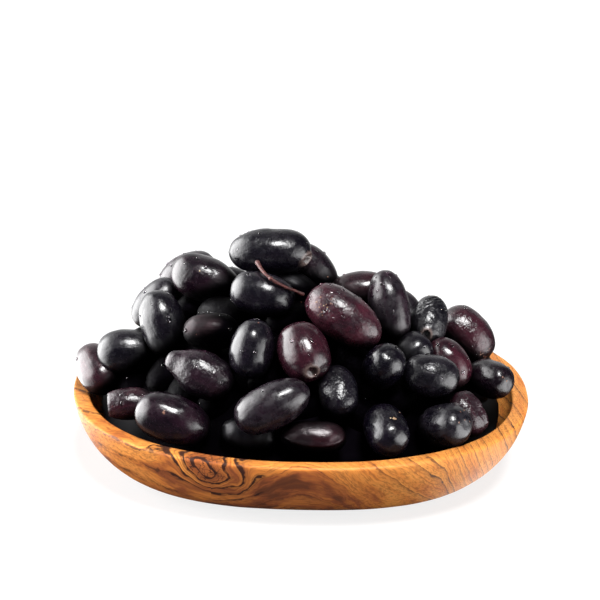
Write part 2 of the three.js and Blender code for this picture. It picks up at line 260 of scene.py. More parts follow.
# %% Room
ROOM_DIM = 0.035  # how bright the room is where nothing glows
GLOWS = [
    # direction, cosines of where it ends and where it is full, brightness
    ((-0.93, 0.12, 0.24), 0.50, 1.00, 13.0),
    ((0.86, -0.46, -0.06), 0.72, 1.00, 6.5),
    ((-0.30, 0.94, 0.18), 0.20, 0.95, 0.8),
]


def mirrored_glow(direction):
    """How bright the room is in a direction, to reflections."""
    glow = ROOM_DIM
    for middle, edge, full, brightness in GLOWS:
        share = direction.vector("DOT_PRODUCT", Vector(middle).normalized()).spread(edge, full)
        glow = share * share * brightness + glow
    return glow


room = bpy.data.worlds.new("room")
room.use_nodes = True
wiring = Wiring(room.node_tree)
glow = mirrored_glow(wiring.add("TexCoord", output="Generated"))
strength = wiring.choose(wiring.ray("Glossy"), ROOM_DIM, glow)
strength = wiring.choose(wiring.ray("Camera"), strength, 1.0)
wiring.feed(room.node_tree.nodes["Background"], {"Color": WHITE, "Strength": strength})
bpy.context.scene.world = room
bpy.context.scene.view_settings.view_transform = "Standard"
print("glows:", len(GLOWS))

# %% [markdown]
# ## Floor
# The floor is a sheet of white paper. It is white to the view and shines a little by itself, so
# that the shadows on it stay faint. It throws little light up onto the dish. To reflections it goes
# on with the glows of the room below the horizon, and is dark elsewhere: the undersides of the
# olives have to be black.

# %% Floor
FLOOR_SIZE = 12.0
FLOOR_SEEN, FLOOR_SHINE = 0.22, 0.80
FLOOR_THROWN, FLOOR_MIRRORED = 0.26, 0.02
HEAP_MIDDLE = (0, 0, 45 * MM)

bpy.ops.object.select_all(action="DESELECT")
bpy.ops.mesh.primitive_plane_add(size=FLOOR_SIZE)
floor = bpy.context.active_object
floor.name = "floor"
paper, wiring, shader = new_material("white_paper")
tone = wiring.choose(wiring.ray("Glossy"), FLOOR_THROWN, FLOOR_MIRRORED)
from_heap = wiring.add("TexCoord", output="Object").vector("SUBTRACT", HEAP_MIDDLE)
glow = mirrored_glow(from_heap.vector("NORMALIZE"))
wiring.feed(shader, {
    "Base Color": wiring.choose(wiring.ray("Camera"), tone, FLOOR_SEEN),
    "Emission Strength": wiring.choose(wiring.ray("Camera"), wiring.ray("Glossy") * glow, FLOOR_SHINE),
    "Emission Color": WHITE, "Specular IOR Level": 0.0, "Roughness": 1.0})
floor.data.materials.append(paper)
print("floor:", FLOOR_SIZE, "m wide")

# %% [markdown]
# ## Working by operators
# Every piece below starts as one of Blender's primitives and is shaped in edit mode, as by hand.
# By hand the mouse picks the vertices; a script picks them by where they are. These helpers add a
# primitive with nothing else selected, open a piece for editing, select by place, and so on.

# %% Helpers for modelling
def add_primitive(operator, name, **settings):
    """Adds one primitive on its own and returns it."""
    bpy.ops.object.select_all(action="DESELECT")
    operator(**settings)
    bpy.context.active_object.name = name
    return bpy.context.active_object


def select_only(*pieces):
    """Selects some pieces, and makes the first one active."""
    bpy.ops.object.select_all(action="DESELECT")
    for piece in pieces:
        piece.select_set(True)
    bpy.context.view_layer.objects.active = pieces[0]


def open_for_editing(piece):
    select_only(piece)
    bpy.ops.object.mode_set(mode="EDIT")
    bpy.ops.mesh.select_mode(type="VERT")
    bpy.ops.mesh.select_all(action="DESELECT")


def close_editing():
    bpy.ops.object.mode_set(mode="OBJECT")


def select_vertices(piece, wanted):
    """In edit mode, selects the vertices whose place passes the test."""
    shape = bmesh.from_edit_mesh(piece.data)
    for vertex in shape.verts:
        vertex.select = wanted(vertex.co)
    shape.select_flush_mode()
    bmesh.update_edit_mesh(piece.data)


def join_pieces(pieces, name):
    select_only(*pieces)
    bpy.ops.object.join()
    pieces[0].name = pieces[0].data.name = name
    return pieces[0]


def copy_piece(piece):
    """A copy with a mesh of its own."""
    copy = piece.copy()
    copy.data = piece.data.copy()
    bpy.context.scene.collection.objects.link(copy)
    return copy


def roughen(piece, size, depth, vertex_group=""):
    """Pushes the surface in and out by a cloudy pattern, as growth and handling do."""
    clouds = bpy.data.textures.new(piece.name + "_unevenness", "CLOUDS")
    clouds.noise_scale = size
    push = piece.modifiers.new("unevenness", "DISPLACE")
    push.texture = clouds
    push.texture_coords = "GLOBAL"
    push.strength = depth
    push.vertex_group = vertex_group
    select_only(piece)
    bpy.ops.object.modifier_apply(modifier=push.name)


def dress(piece, material):
    """Gives a piece its one material, and tells its size."""
    piece.data.materials.clear()
    piece.data.materials.append(material)
    print(piece.name + ":", count_triangles(piece), "triangles,", material.name)


def count_triangles(piece):
    return sum(len(face.vertices) - 2 for face in piece.data.polygons)


# %% [markdown]
# ## Two effects that several finishes share
# Grain is a noise that is drawn out along one direction: fibres in the wood and in the stalk.
# Specks are tiny round spots: pores in the wood, and the pale dots that a ripe olive's skin is sown
# with. Both are made once as node groups.

# %% Shared node groups
def make_grain_group():
    """Streaks along X of the place given: `Stretch` times as long as they are wide."""
    wiring, place, fineness, stretch = new_group("Drawn-out grain", "Fineness", "Stretch")
    squeeze = wiring.point(wiring.add("Math", {0: 1.0, 1: stretch}, operation="DIVIDE"), 1.0, 1.0)
    return close_group(wiring, wiring.noise(place.vector("MULTIPLY", squeeze), fineness, detail=4.0))


def make_specks_group():
    """Small round spots, 1 in their middles. `Share` of the cells carry one."""
    wiring, place, fineness, share, size = new_group("Sown specks", "Fineness", "Share", "Size")
    cells = wiring.node("TexVoronoi", {"Vector": place, "Scale": fineness}).outputs
    spot = Value(wiring, cells["Distance"]).spread(size * 0.5, size, 1.0, 0.0)
    chance = wiring.add("SeparateColor", {0: Value(wiring, cells["Color"])})
    return close_group(wiring, spot * chance.math("LESS_THAN", share))


grain_group = make_grain_group()
specks_group = make_specks_group()
print("node groups:", sorted(group.name for group in bpy.data.node_groups))

# %% [markdown]
# ## The dish's form
# The dish is an oval that is a little squarer than an ellipse, with walls that curve in to a
# small flat foot. One formula, a quarter of a superellipse, gives the outer wall and the well.
# The same formulas shape the CAD solid, with coarser steps.

# %% Sizes of the dish
_, dish_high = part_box("dish")
DISH_HEIGHT = round(dish_high.z / MM, 2)
HALF_LENGTH = round(dish_high.x / MM, 2)
HALF_WIDTH = round(dish_high.y / MM, 2)
RIM_WIDTH = 5.5
RIM_ROUND = 0.9
FOOT_INSET = 25
FLOOR_THICKNESS = 7
WELL_INSET = 24
OUTER_FULLNESS = 1.65
INNER_FULLNESS = 1.8
RIM_SQUARENESS = 2.24
FOOT_SQUARENESS = 2.6
WELL_DEPTH = DISH_HEIGHT - FLOOR_THICKNESS
GAP = 0.4  # between the dish and the olives


def wall_inset(depth_share, inset, fullness):
    """How far a wall has come in at a share of its depth."""
    sine = min(max(depth_share, 0.0), 1.0) ** (fullness / 2)
    cosine = math.sqrt(max(0.0, 1 - sine * sine))
    return inset * (1 - cosine ** (2 / fullness))


def squareness_at(depth_share):
    return RIM_SQUARENESS + (FOOT_SQUARENESS - RIM_SQUARENESS) * min(max(depth_share, 0.0), 1.0)


def oval_point(angle, inset, height):
    """The point of the oval that stands in from the rim, in millimetres."""
    power = 2 / squareness_at(1 - height / DISH_HEIGHT)
    across = math.copysign(abs(math.cos(angle)) ** power, math.cos(angle))
    deep = math.copysign(abs(math.sin(angle)) ** power, math.sin(angle))
    return Vector(((HALF_LENGTH - inset) * across, (HALF_WIDTH - inset) * deep, height))


print("dish:", 2 * HALF_LENGTH, "x", 2 * HALF_WIDTH, "x", DISH_HEIGHT, "mm")

# %% [markdown]
# ## Modelling the dish
# A carved bowl could be cut from a block with booleans, but then its rim would need rounding by
# hand. It is easier as one skin: a disc for the foot, which is extruded again and again, up the
# outer wall, over the rim and down into the well. After each extrusion the new ring is set to its
# own oval. The rim gets two rounded edges, which later catch the light as thin bright lines.

# %% Profile of the wall
DISH_STEPS_ROUND = 200
WALL_STEPS = 22
ROUND_STEPS = 5
ROUND_CLEARANCE = 1.2  # how far below the rim its walls end, in radii of its edges


def dish_profile():
    """The wall as [inset, height], from the foot over the rim to the floor of the well."""
    clear = DISH_HEIGHT - ROUND_CLEARANCE * RIM_ROUND
    outer, inner = [], []
    for i in range(WALL_STEPS + 1):
        quarter = i / WALL_STEPS * math.pi / 2
        share = math.cos(quarter) ** (2 / OUTER_FULLNESS)
        outer.append((wall_inset(share, FOOT_INSET, OUTER_FULLNESS), DISH_HEIGHT * (1 - share)))
        share = math.sin(quarter) ** (2 / INNER_FULLNESS)
        inset = RIM_WIDTH + wall_inset(share, WELL_INSET, INNER_FULLNESS)
        inner.append((inset, DISH_HEIGHT - WELL_DEPTH * share))
    rim = []
    for middle, start in ((RIM_ROUND, math.pi), (RIM_WIDTH - RIM_ROUND, math.pi / 2)):
        for i in range(ROUND_STEPS + 1):
            angle = start - i / ROUND_STEPS * math.pi / 2
            lift = DISH_HEIGHT - RIM_ROUND + RIM_ROUND * math.sin(angle)
            rim.append((middle + RIM_ROUND * math.cos(angle), lift))
    return [p for p in outer if p[1] < clear] + rim + [p for p in inner if p[1] < clear]


# %% The dish, extruded ring by ring
def set_ring(piece, inset, height):
    """Sets the selected ring to its own oval. Each vertex knows the angle of its meridian."""
    shape = bmesh.from_edit_mesh(piece.data)
    angle = shape.verts.layers.float["meridian"]
    for vertex in shape.verts:
        if vertex.select:
            vertex.co = oval_point(vertex[angle], inset, height) * MM
    bmesh.update_edit_mesh(piece.data)


def model_dish():
    piece = add_primitive(bpy.ops.mesh.primitive_circle_add, "olive_wood_dish",
                          vertices=DISH_STEPS_ROUND, radius=1, fill_type="NGON")
    meridian = piece.data.attributes.new("meridian", "FLOAT", "POINT")
    for vertex, angle in zip(piece.data.vertices, meridian.data):
        angle.value = math.atan2(vertex.co.y, vertex.co.x)
    open_for_editing(piece)
    bpy.ops.mesh.select_all(action="SELECT")
    profile = dish_profile()
    set_ring(piece, *profile[0])
    for inset, height in profile[1:]:
        bpy.ops.mesh.extrude_region()
        set_ring(piece, inset, height)
    bpy.ops.mesh.select_all(action="SELECT")
    bpy.ops.mesh.normals_make_consistent(inside=False)
    close_editing()
    piece.data.attributes.remove(piece.data.attributes["meridian"])
    return piece


CARVING_SIZE = 22 * MM
CARVING_DEPTH = 0.5 * MM
FOOT_CLEARANCE = 4  # the foot stays flat up to this height

dish = model_dish()
carved = dish.vertex_groups.new(name="carved")
for vertex in dish.data.vertices:
    carved.add([vertex.index], min(1.0, vertex.co.z / (FOOT_CLEARANCE * MM)), "REPLACE")
roughen(dish, CARVING_SIZE, CARVING_DEPTH, "carved")
bpy.ops.object.shade_smooth()

# %% [markdown]
# ## Olive wood
# Olive wood is honey-coloured, with dark growth lines that wander and close round every knot. The
# lines are contour lines: think of a slowly rolling landscape inside the block, and of a dark line
# wherever its height passes a whole number. A slope gives long parallel lines, a low rise gives
# arches, and a steep hill gives the closed rings of a knot. Some layers come out nearly black and
# others hardly show, so each layer draws its own strength by its number.

# %% Sizes and colours of the wood
LAYER_STEP = 5.2  # millimetres between growth lines
GRAIN_TILT = 0.42  # how much the layers lean to the back
SWAY, WIGGLE = 9.0, 3.0  # millimetres that the layers wander, broadly and finely
ARCH_MIDDLE, ARCH_REACH, ARCH_RISE = 2.0, 15.0, 9.0
FALLS = [(14.0, 0.65), (46.0, 1.4)]  # where the layers start to fall to the right, and how steeply
CLIMB_END, CLIMB = -30.0, 0.36  # and up to where they fall from the left
KNOT_MIDDLE = (-27.8, -62.0, 20.8)
KNOT_SHEAR = (0.58, 0.20)  # how its rings lean, on the left and on the right
KNOT_BELOW, KNOT_ABOVE, KNOT_IN = 1.25, 0.6, 0.4  # how they are squeezed, by direction
KNOT_STEP, KNOT_LEVEL = 3.7, 1.55  # millimetres between its rings, and the layer it rises to
KNOT_HEART, KNOT_SOFTNESS, KNOT_REACH = 6.0, 1.5, 20.0
LOW_FRONT_DARKER_HEIGHTS = (-9.0, -17.0)  # heights of the growth landscape between which the wood turns darker, towards the bottom of the front
RIM_TOP_SHADE_EDGE, BELOW_RIM_PAINTED_SHADE = 1.5, 0.10  # millimetres over which the wood below the rim top turns darker, and how much: painted shade
MIDDLE_TONE_AND_SHADE_REACH, MIDDLE_TONE_AND_SHADE = 30.0, 0.24  # how far, and how much, it is darker still in the middle: partly its own tone, partly painted shade
RIGHT_PALER = (18.0, 32.0, 0.0, -0.16)  # from where to where the right gets paler, and how much
LEFT_LINES = (-30.0, -42.0, 0.0, 0.7)  # from where to where the left gets more lines
FEWER_FINE = (10.0, 22.0, 1.0, 0.55)  # from where to where the fine lines fade at the right
KNOT_UNEVEN, KNOT_WIGGLE = 7.0, 2.7  # millimetres that its rings wander
LINE_END, LINE_EDGE = 0.94, 0.07  # where a line starts in its layer, less its width, how softly
LINE_CLOSE = (0.95, 1.0, 1.0, 0.0)  # and where it ends
FINE_LAYERS = 3.1  # fine lines to each growth line

HONEY = (0.76, 0.30, 0.062, 1)
AMBER = (0.63, 0.205, 0.038, 1)
RUSSET = (0.34, 0.090, 0.026, 1)
UMBER = (0.15, 0.044, 0.018, 1)
LINE_AND_SHADE_DARK = (0.028, 0.011, 0.009, 1)
MIRRORED_SHADE_SHARE = 0.85  # how much darker the wood is painted to rays of reflection, so the skins mirror it dark: painted shade

print("knot at", KNOT_MIDDLE, "mm")


# %% Growth lines
def bell(distance, reach):
    """1 at the middle, falling smoothly to 0 past the reach."""
    share = distance / reach
    return (share * share * -1.0).math("EXPONENT")


def knot_distance(wiring, place, wiggle):
    """How far a point is from the knot, in the squeezed and leaning measure of its rings."""
    dx, dy, dz = wiring.parts(place.vector("SUBTRACT", KNOT_MIDDLE))
    left, right = (dx + dz * shear for shear in KNOT_SHEAR)
    dx = wiring.choose(dx.math("GREATER_THAN", 0.0), left, right)
    dz = (dz * KNOT_ABOVE).math("MAXIMUM", dz * -KNOT_BELOW)
    uneven = wiring.noise(place, 0.12, detail=1.0, roughness=0.4) - 0.5
    distance = wiring.point(dx, dy * KNOT_IN, dz).vector("LENGTH")
    return distance + uneven * KNOT_UNEVEN + wiggle * KNOT_WIGGLE


def growth_layers(wiring, place):
    """The landscape whose contour lines are the growth lines: its height, and counted in layers.
    Also how far a place belongs to the knot, and how far it is from it."""
    x, y, z = wiring.parts(place)
    sway = wiring.noise(place, 0.022, detail=2.0, roughness=0.5) - 0.5
    wiggle = wiring.noise(place, 0.16) - 0.5
    height = z + y * GRAIN_TILT - bell(x - ARCH_MIDDLE, ARCH_REACH) * ARCH_RISE
    for start, steepness in FALLS:
        height = height + (x - start).math("MAXIMUM", 0.0) * steepness
    height = height + (x - CLIMB_END).math("MINIMUM", 0.0) * CLIMB
    height = height + sway * SWAY + wiggle * WIGGLE
    distance = knot_distance(wiring, place, wiggle)
    knot = distance.spread(KNOT_HEART, KNOT_REACH, 1.0, 0.0)
    rings = KNOT_LEVEL - distance / KNOT_STEP
    return height, wiring.choose(knot, height / LAYER_STEP, rings), knot, distance


def growth_lines(wiring, layers, least, width):
    """Dark lines, each with a soft shade on one side and a strength of its own."""
    share, number = layers.math("FRACT"), layers.math("FLOOR")
    own = wiring.add("TexWhiteNoise", {"W": number}, noise_dimensions="1D")
    own = own.math("POWER", 1.5).math("MAXIMUM", least)
    start = LINE_END - width
    close = share.spread(*LINE_CLOSE)
    line = share.spread(start, start + LINE_EDGE) * close
    shade = share.spread(0.3, 0.95) * close
    return line * own, shade * own


# %% Olive wood material
def wood_tone(wiring, height, flow, x, z):
    """How dark the wood is between its lines: 0 is honey, 1 is umber. Below the rim top it is painted
    darker as shade, and in the middle darker still, partly its own tone and partly painted shade.
    """
    broad = wiring.noise(flow.vector("MULTIPLY", (0.25, 1.0, 0.4)), 0.20)
    # Painted shade: the wood below the rim top is painted darker, in the middle partly by its own tone.
    painted_shade_below_rim = z.spread(DISH_HEIGHT, DISH_HEIGHT - RIM_TOP_SHADE_EDGE)
    tone = broad.spread(0.36, 0.76, -0.08, 0.67) + height.spread(*LOW_FRONT_DARKER_HEIGHTS, to_high=0.25)
    tone = tone + bell(x, MIDDLE_TONE_AND_SHADE_REACH) * painted_shade_below_rim * MIDDLE_TONE_AND_SHADE + painted_shade_below_rim * BELOW_RIM_PAINTED_SHADE
    return tone + x.spread(*RIGHT_PALER)


def wood_lines(wiring, place, x, layers, knot):
    """The dark lines and their shades, and the fine lines and theirs."""
    strokes = wiring.noise(place, 0.30)
    width = strokes.spread(0.35, 0.7, 0.03, 0.22) + knot * 0.13
    in_knot = knot.spread(0.01, 0.2) * strokes.spread(0.3, 0.5, 0.6, 1.0)
    at_left = x.spread(*LEFT_LINES) * strokes.spread(0.35, 0.6)
    lines, shades = growth_lines(wiring, layers, in_knot.math("MAXIMUM", at_left), width)
    least = knot * 0.45 + at_left * 0.6
    fine_lines, fine_shades = growth_lines(wiring, layers * FINE_LAYERS, least, width)
    return lines, shades, fine_lines * x.spread(*FEWER_FINE), fine_shades


def make_wood():
    material, wiring, shader = new_material("oiled_olive_wood")
    place = wiring.millimetres()
    x, y, z = wiring.parts(place)
    height, layers, knot, off_knot = growth_layers(wiring, place)
    flow = wiring.point(x, layers * LAYER_STEP, y)
    lines, shades, fine_lines, fine_shades = wood_lines(wiring, place, x, layers, knot)
    fibres = wiring.group(grain_group, flow, Fineness=1.3, Stretch=14.0)
    heart = off_knot.spread(KNOT_HEART - KNOT_SOFTNESS, KNOT_HEART + KNOT_SOFTNESS, 1.0, 0.0)
    cracks = (wiring.noise(place, 0.4, detail=2.0, roughness=0.5) - 0.5).math("ABSOLUTE")
    cracks = cracks.spread(0.01, 0.035, 1.0, 0.0) * heart
    pores = wiring.group(specks_group, flow.vector("MULTIPLY", (0.2, 1.0, 1.0)), Fineness=1.4,
                         Share=0.14, Size=0.25)
    tone = wood_tone(wiring, height, flow, x, z)
    bare = wiring.colours(tone, [(0.0, HONEY), (0.4, AMBER), (0.75, RUSSET), (1.0, UMBER)])
    colour = wiring.paint(
        bare, (heart * 0.8, RUSSET), (fibres.spread(0.42, 0.72, 0.0, 0.6), UMBER),
        (fine_shades * 0.5, RUSSET), (fine_lines * 0.75, UMBER), (shades * 0.55, UMBER),
        (lines * 0.95, LINE_AND_SHADE_DARK), (cracks * 0.8, LINE_AND_SHADE_DARK), (pores * 0.5, UMBER),
        # Painted shade in reflections: to glossy rays the wood is painted nearly as dark as its lines.
        (wiring.ray("Glossy") * MIRRORED_SHADE_SHARE, LINE_AND_SHADE_DARK))
    wiring.feed(shader, {
        "Base Color": colour, "Roughness": fibres.spread(0.3, 0.75, 0.42, 0.56),
        "Normal": wiring.bump(fibres * 0.5 - pores * 0.6, 0.03 * MM),
        "Specular IOR Level": 0.22, "Coat Weight": 0.04, "Coat Roughness": 0.25})
    return material


dress(dish, make_wood())

# %% [markdown]
# ## The rule of the heap
# A heap could be made by dropping olives in a rigid body simulation, but then no olive would lie
# where it should. Here the heap is a smooth mound on which the middles of the outer olives lie.
# The olives of the front are placed one by one on it, each along the line of sight from the front,
# and the rest is filled by rule. The CAD solid was placed by the same rule and the same chance
# draws, so that the outer olives cover their solids. Six of the front ones are missing in it,
# numbers 12, 17, 18, 21, 28 and 29, and the innermost olives are modelled here only.

# %% The mound
HEAP_TOP_X, HEAP_TOP_Y = -8, 0
HEAP_RISE = 40  # millimetres from the edge of the mound to its top
HEAP_EDGE_RISE = 3  # how far its edge is over the rim of the dish
HEAP_END_INSET, HEAP_SIDE_INSET = 5, 13  # and how far within it
FRONT_BULGE, BACK_BULGE = 1.7, 1.35  # 1 is a cone, more is rounder at the top


def heap_reach_x(side):
    return HALF_LENGTH - HEAP_END_INSET - np.sign(side) * HEAP_TOP_X


def heap_reach_y(side):
    return HALF_WIDTH - HEAP_SIDE_INSET - np.sign(side) * HEAP_TOP_Y


def heap_height(x, y):
    """The height of the surface that runs through the middles of the outer olives."""
    u = (x - HEAP_TOP_X) / heap_reach_x(np.where(x > HEAP_TOP_X, 1, -1))
    v = (y - HEAP_TOP_Y) / heap_reach_y(np.where(y > HEAP_TOP_Y, 1, -1))
    out = np.hypot(u, v)
    back_share = (np.maximum(v, 0) / out) ** 2
    bulge = FRONT_BULGE + (BACK_BULGE - FRONT_BULGE) * back_share
    return DISH_HEIGHT + HEAP_EDGE_RISE + HEAP_RISE * (1 - out ** bulge)


def unit(vector):
    return vector / np.linalg.norm(vector)


def heap_normal(x, y):
    """The direction straight out of the mound, one row for each point."""
    step = 0.5
    slope_x = heap_height(x + step, y) - heap_height(x - step, y)
    slope_y = heap_height(x, y + step) - heap_height(x, y - step)
    normal = np.stack((-slope_x, -slope_y, np.full_like(slope_x, 2 * step)), axis=-1)
    return normal / np.linalg.norm(normal, axis=-1, keepdims=True)


def depth_in_heap(points, rim_shade):
    """How deep points lie under the mound, or under the rim of the dish and the shade over it."""
    x, y, z = points.T
    depth = (heap_height(x, y) - z) * heap_normal(x, y)[:, 2]
    return np.maximum(depth, DISH_HEIGHT + rim_shade - z)


# %% Seats along the line of sight
BOARD_LEAN = LOOK_DOWN
SIGHT_POINT = np.array((-1.0, -747.0, 343.0))  # where the camera stands, in millimetres
BOARD_ACROSS = np.array((1.0, 0.0, 0.0))
BOARD_UP = np.array((0.0, math.sin(BOARD_LEAN), math.cos(BOARD_LEAN)))
BOARD_OUT = np.array((0.0, -math.cos(BOARD_LEAN), math.sin(BOARD_LEAN)))


def on_board(across, up):
    return np.array((0.0, 0.0, DISH_HEIGHT)) + across * BOARD_ACROSS + up * BOARD_UP


def seat(across, up, lift):
    """The point of a sight line that is on the mound, or passes nearest to it, less the lift."""
    start = on_board(across, up)
    line = unit(start - SIGHT_POINT)
    step, reach = 0.25, 110
    nearest, best, slide = math.inf, 0.0, -reach
    while slide < reach and nearest > 0:
        point = start + line * slide
        over = point[2] - heap_height(point[0], point[1])
        if over < nearest:
            nearest, best = over, slide
        slide += step
    return start + line * (best - lift)


# %% [markdown]
# ## The olives of the front
# Each row gives one olive: its place on a board that leans back with the view, its turn and dip,
# and its size. Its looks follow: the shape it was modelled in, how ripe its skin is, which end its
# stem grew on, how far it is rolled about its length, and how dusty its skin is.

# %% Rows of the front olives
FRONT_OLIVES = [
    # across, up, lift, turn, dip, length, width, shape, skin, stem end, roll, bloom
    (-11.5, 45, 2, 2, 0, 27.5, 15.6, "open", "black", 1, 40, 0.1),
    (3, 38.5, -11, -48, -10, 21, 14.3, "smooth", "purple", -1, 0, 0.2),
    (-33, 35, 1, -20, 5, 24, 15.5, "smooth", "purple", -1, 60, 0.0),
    (-39, 36.5, -16, 34, 0, 21, 14.5, "smooth", "purple", -1, 0, 0.6),
    (-13.5, 30.5, 1, -12, 5, 21.5, 14.5, "smooth", "black", -1, 0, 0.1),
    (14, 23.5, 4, -33, 5, 27.5, 16, "smooth", "wine", -1, 0, 0.2),
    (29, 27.5, 1, -79, 5, 24.5, 13.7, "smooth", "purple", 1, 0, 0.3),
    (18, 32.5, -10, 10, 0, 20, 13, "smooth", "wine", 1, 0, 0.1),
    (42.5, 22.5, 1, 76, -25, 19.5, 12.8, "slit", "black", -1, 0, 0.2),
    (55.5, 18.5, 0, -45, 0, 21.5, 16.5, "smooth", "wine", -1, 0, 0.1),
    (49.5, 9, -4, -55, 0, 18, 13.5, "smooth", "wine", 1, 0, 0.0),
    (44, 4.5, 4, -5, 0, 18.5, 14, "smooth", "black", -1, 0, 0.2),
    (63.5, 4, 2, -15, 45, 18, 12.6, "smooth", "purple", 1, 0, 0.0),
    (27.5, 7, 2, 60, 55, 18, 13.4, "smooth", "black", 1, 0, 0.0),
    (56.5, -8, 0, -60, 0, 15.5, 11.5, "creased", "wine", 1, -40, 0.2),
    (48.5, -12.5, 2, 10, 50, 20, 14.4, "smooth", "black", 1, 0, 0.4),
    (29, -14, 2, -65, 50, 19.5, 14.2, "smooth", "black", 1, 0, 0.0),
    (4.5, -17.5, 0, 0, 0, 21, 12, "creased", "wine", 1, 50, 0.1),
    (-9.5, -7, 6, 28, 0, 25.5, 14.8, "smooth", "purple", -1, 0, 0.3),
    (-17, -17, -5, -8, 0, 19, 11.5, "smooth", "black", 1, 0, 0.1),
    (-43, -12.5, 2, -18, 0, 25, 15.5, "smooth", "purple", -1, 0, 0.0),
    (-56.5, -7.5, -3, 5, 0, 16, 10.5, "cut", "wine", -1, 0, 0.1),
    (-69, 4, 3, -55, 40, 20, 14, "smooth", "wine", 1, 0, 0.1),
    (-59, 10, -2, 5, 0, 20, 15, "smooth", "black", -1, 0, 0.1),
    (-47.5, 21, 3, -72, 0, 20.5, 15.2, "cut", "black", 1, 0, 0.1),
    (-49.5, 26.5, -3, 45, 0, 20, 13.5, "smooth", "black", 1, 0, 0.6),
    (-34.5, 3.5, 1, -25, 0, 23.5, 14.8, "necked", "purple", -1, 0, 0.1),
    (-17, 12, 2, 80, 0, 19.5, 14.2, "smooth", "black", -1, 0, 0.1),
    (0.5, 11.5, 4, -65, 20, 20, 16.5, "open", "wine", 1, 0, 0.0),
    (-31, 17.5, -2, 0, 0, 18, 12.5, "smooth", "wine", 1, 0, 0.0),
    (12.5, -1.5, -1, -80, 30, 18, 12.8, "smooth", "black", 1, 0, 0.1),
    (36.5, 11.5, -8, 40, 0, 16, 13, "smooth", "black", 1, 0, 0.1),
    (-3.5, 32, -13, -30, 0, 18, 13, "smooth", "black", 1, 0, 0.1),
    (34, 25, -10, -55, 0, 19, 13, "smooth", "purple", 1, 0, 0.5),
]


# Of the olives above, counted from 1: how pitted their skins are, and how much deeper in shade.
PITTED = {1: 0.35, 2: 0.3, 3: 0.2, 6: 0.6, 9: 0.7, 10: 0.7, 12: 0.5, 13: 0.3, 14: 0.4, 15: 1.0, 16: 0.3,
          17: 0.3, 18: 0.35, 22: 0.8, 25: 0.2, 27: 0.8, 29: 0.1, 31: 1.0}
SHADED = {18: 4.5, 20: 2.5, 30: 6.0, 31: 1.5, 32: 2.0, 33: 3.0}

# %% The placing rule
OLIVE_LENGTHS = (19.5, 25.5)
OLIVE_SLENDERNESS = (0.58, 0.66)
GOLDEN_TURN = math.pi * (3 - math.sqrt(5))
MOST_DIP = 0.35
DEPTH_SPREAD = 1


class Chance:
    """Chance draws by a linear congruential rule, the same on every run."""

    def __init__(self, seed):
        self.state = seed

    def draw(self, low, high):
        self.state = (self.state * 1664525 + 1013904223) % 2**32
        return low + (high - low) * self.state / 2**32


def tilted(turn, dip, along, across, out):
    """A direction that is turned in the plane of the first two, and dips out of it."""
    return (math.cos(dip) * math.cos(turn) * along + math.cos(dip) * math.sin(turn) * across
            + math.sin(dip) * out)


class Olive:
    """Where one olive lies, and how it looks. `balls` fill it along its length."""

    def __init__(self, middle, axis, half_length, half_width):
        self.middle, self.axis = middle, axis
        self.half_length, self.half_width = half_length, half_width
        focus = half_length**2 - half_width**2
        along = np.array((-1, -0.5, 0, 0.5, 1)) * focus / half_length
        self.balls = middle + along[:, None] * axis
        self.radii = half_width * np.sqrt(1 - along**2 / focus)
        self.shape, self.skin, self.stem, self.roll, self.bloom = "smooth", "black", 1, 0.0, 0.0
        self.pitted = 0.0


def front_olive(row):
    across, up, lift, turn, dip, length, width = row[:7]
    axis = tilted(math.radians(turn), math.radians(dip), BOARD_ACROSS, BOARD_UP, BOARD_OUT)
    olive = Olive(seat(across, up, lift), axis, length / 2, width / 2)
    olive.shape, olive.skin, olive.stem, olive.roll, olive.bloom = row[7:]
    return olive


# %% Gaps round an olive
def room_in_well(points):
    """How far inside the wall of the well each point is, measured across."""
    share = np.clip((DISH_HEIGHT - points[:, 2]) / WELL_DEPTH, 0, 1)
    sine = share ** (INNER_FULLNESS / 2)
    inset = RIM_WIDTH + WELL_INSET * (1 - np.sqrt(1 - sine * sine) ** (2 / INNER_FULLNESS))
    power = RIM_SQUARENESS + (FOOT_SQUARENESS - RIM_SQUARENESS) * share
    across = np.abs(points[:, 0]) / (HALF_LENGTH - inset)
    deep = np.abs(points[:, 1]) / (HALF_WIDTH - inset)
    reach = (across**power + deep**power) ** (1 / power)
    room = np.where(points[:, 2] >= DISH_HEIGHT, np.inf, (1 - reach) * (HALF_WIDTH - inset))
    return np.where(points[:, 2] < FLOOR_THICKNESS, points[:, 2] - FLOOR_THICKNESS, room)


TILTS = np.radians((-90, -75, -60, -45, -30, -15, 0, 15, 30))


def gap_to_dish(olive):
    """The least room that an olive leaves to the wall and the floor of the well."""
    outward = olive.balls / (HALF_LENGTH, HALF_WIDTH, 1)
    outward[:, 2] = 0
    outward /= np.linalg.norm(outward, axis=1)[:, None]
    reach = outward[:, None, :] * np.cos(TILTS)[None, :, None]
    reach[:, :, 2] = np.sin(TILTS)
    points = olive.balls[:, None, :] + reach * olive.radii[:, None, None]
    return room_in_well(points.reshape(-1, 3)).min()


def gap_between(olive, others):
    """The least gap from an olive to any of the others."""
    balls = np.array([other.balls for other in others]).reshape(-1, 3)
    radii = np.array([other.radii for other in others]).reshape(-1)
    apart = np.linalg.norm(balls[None, :, :] - olive.balls[:, None, :], axis=2)
    return (apart - radii[None, :] - olive.radii[:, None]).min()


# %% The view from the front
ROUND_A_BALL = np.radians(np.arange(0, 360, 45))


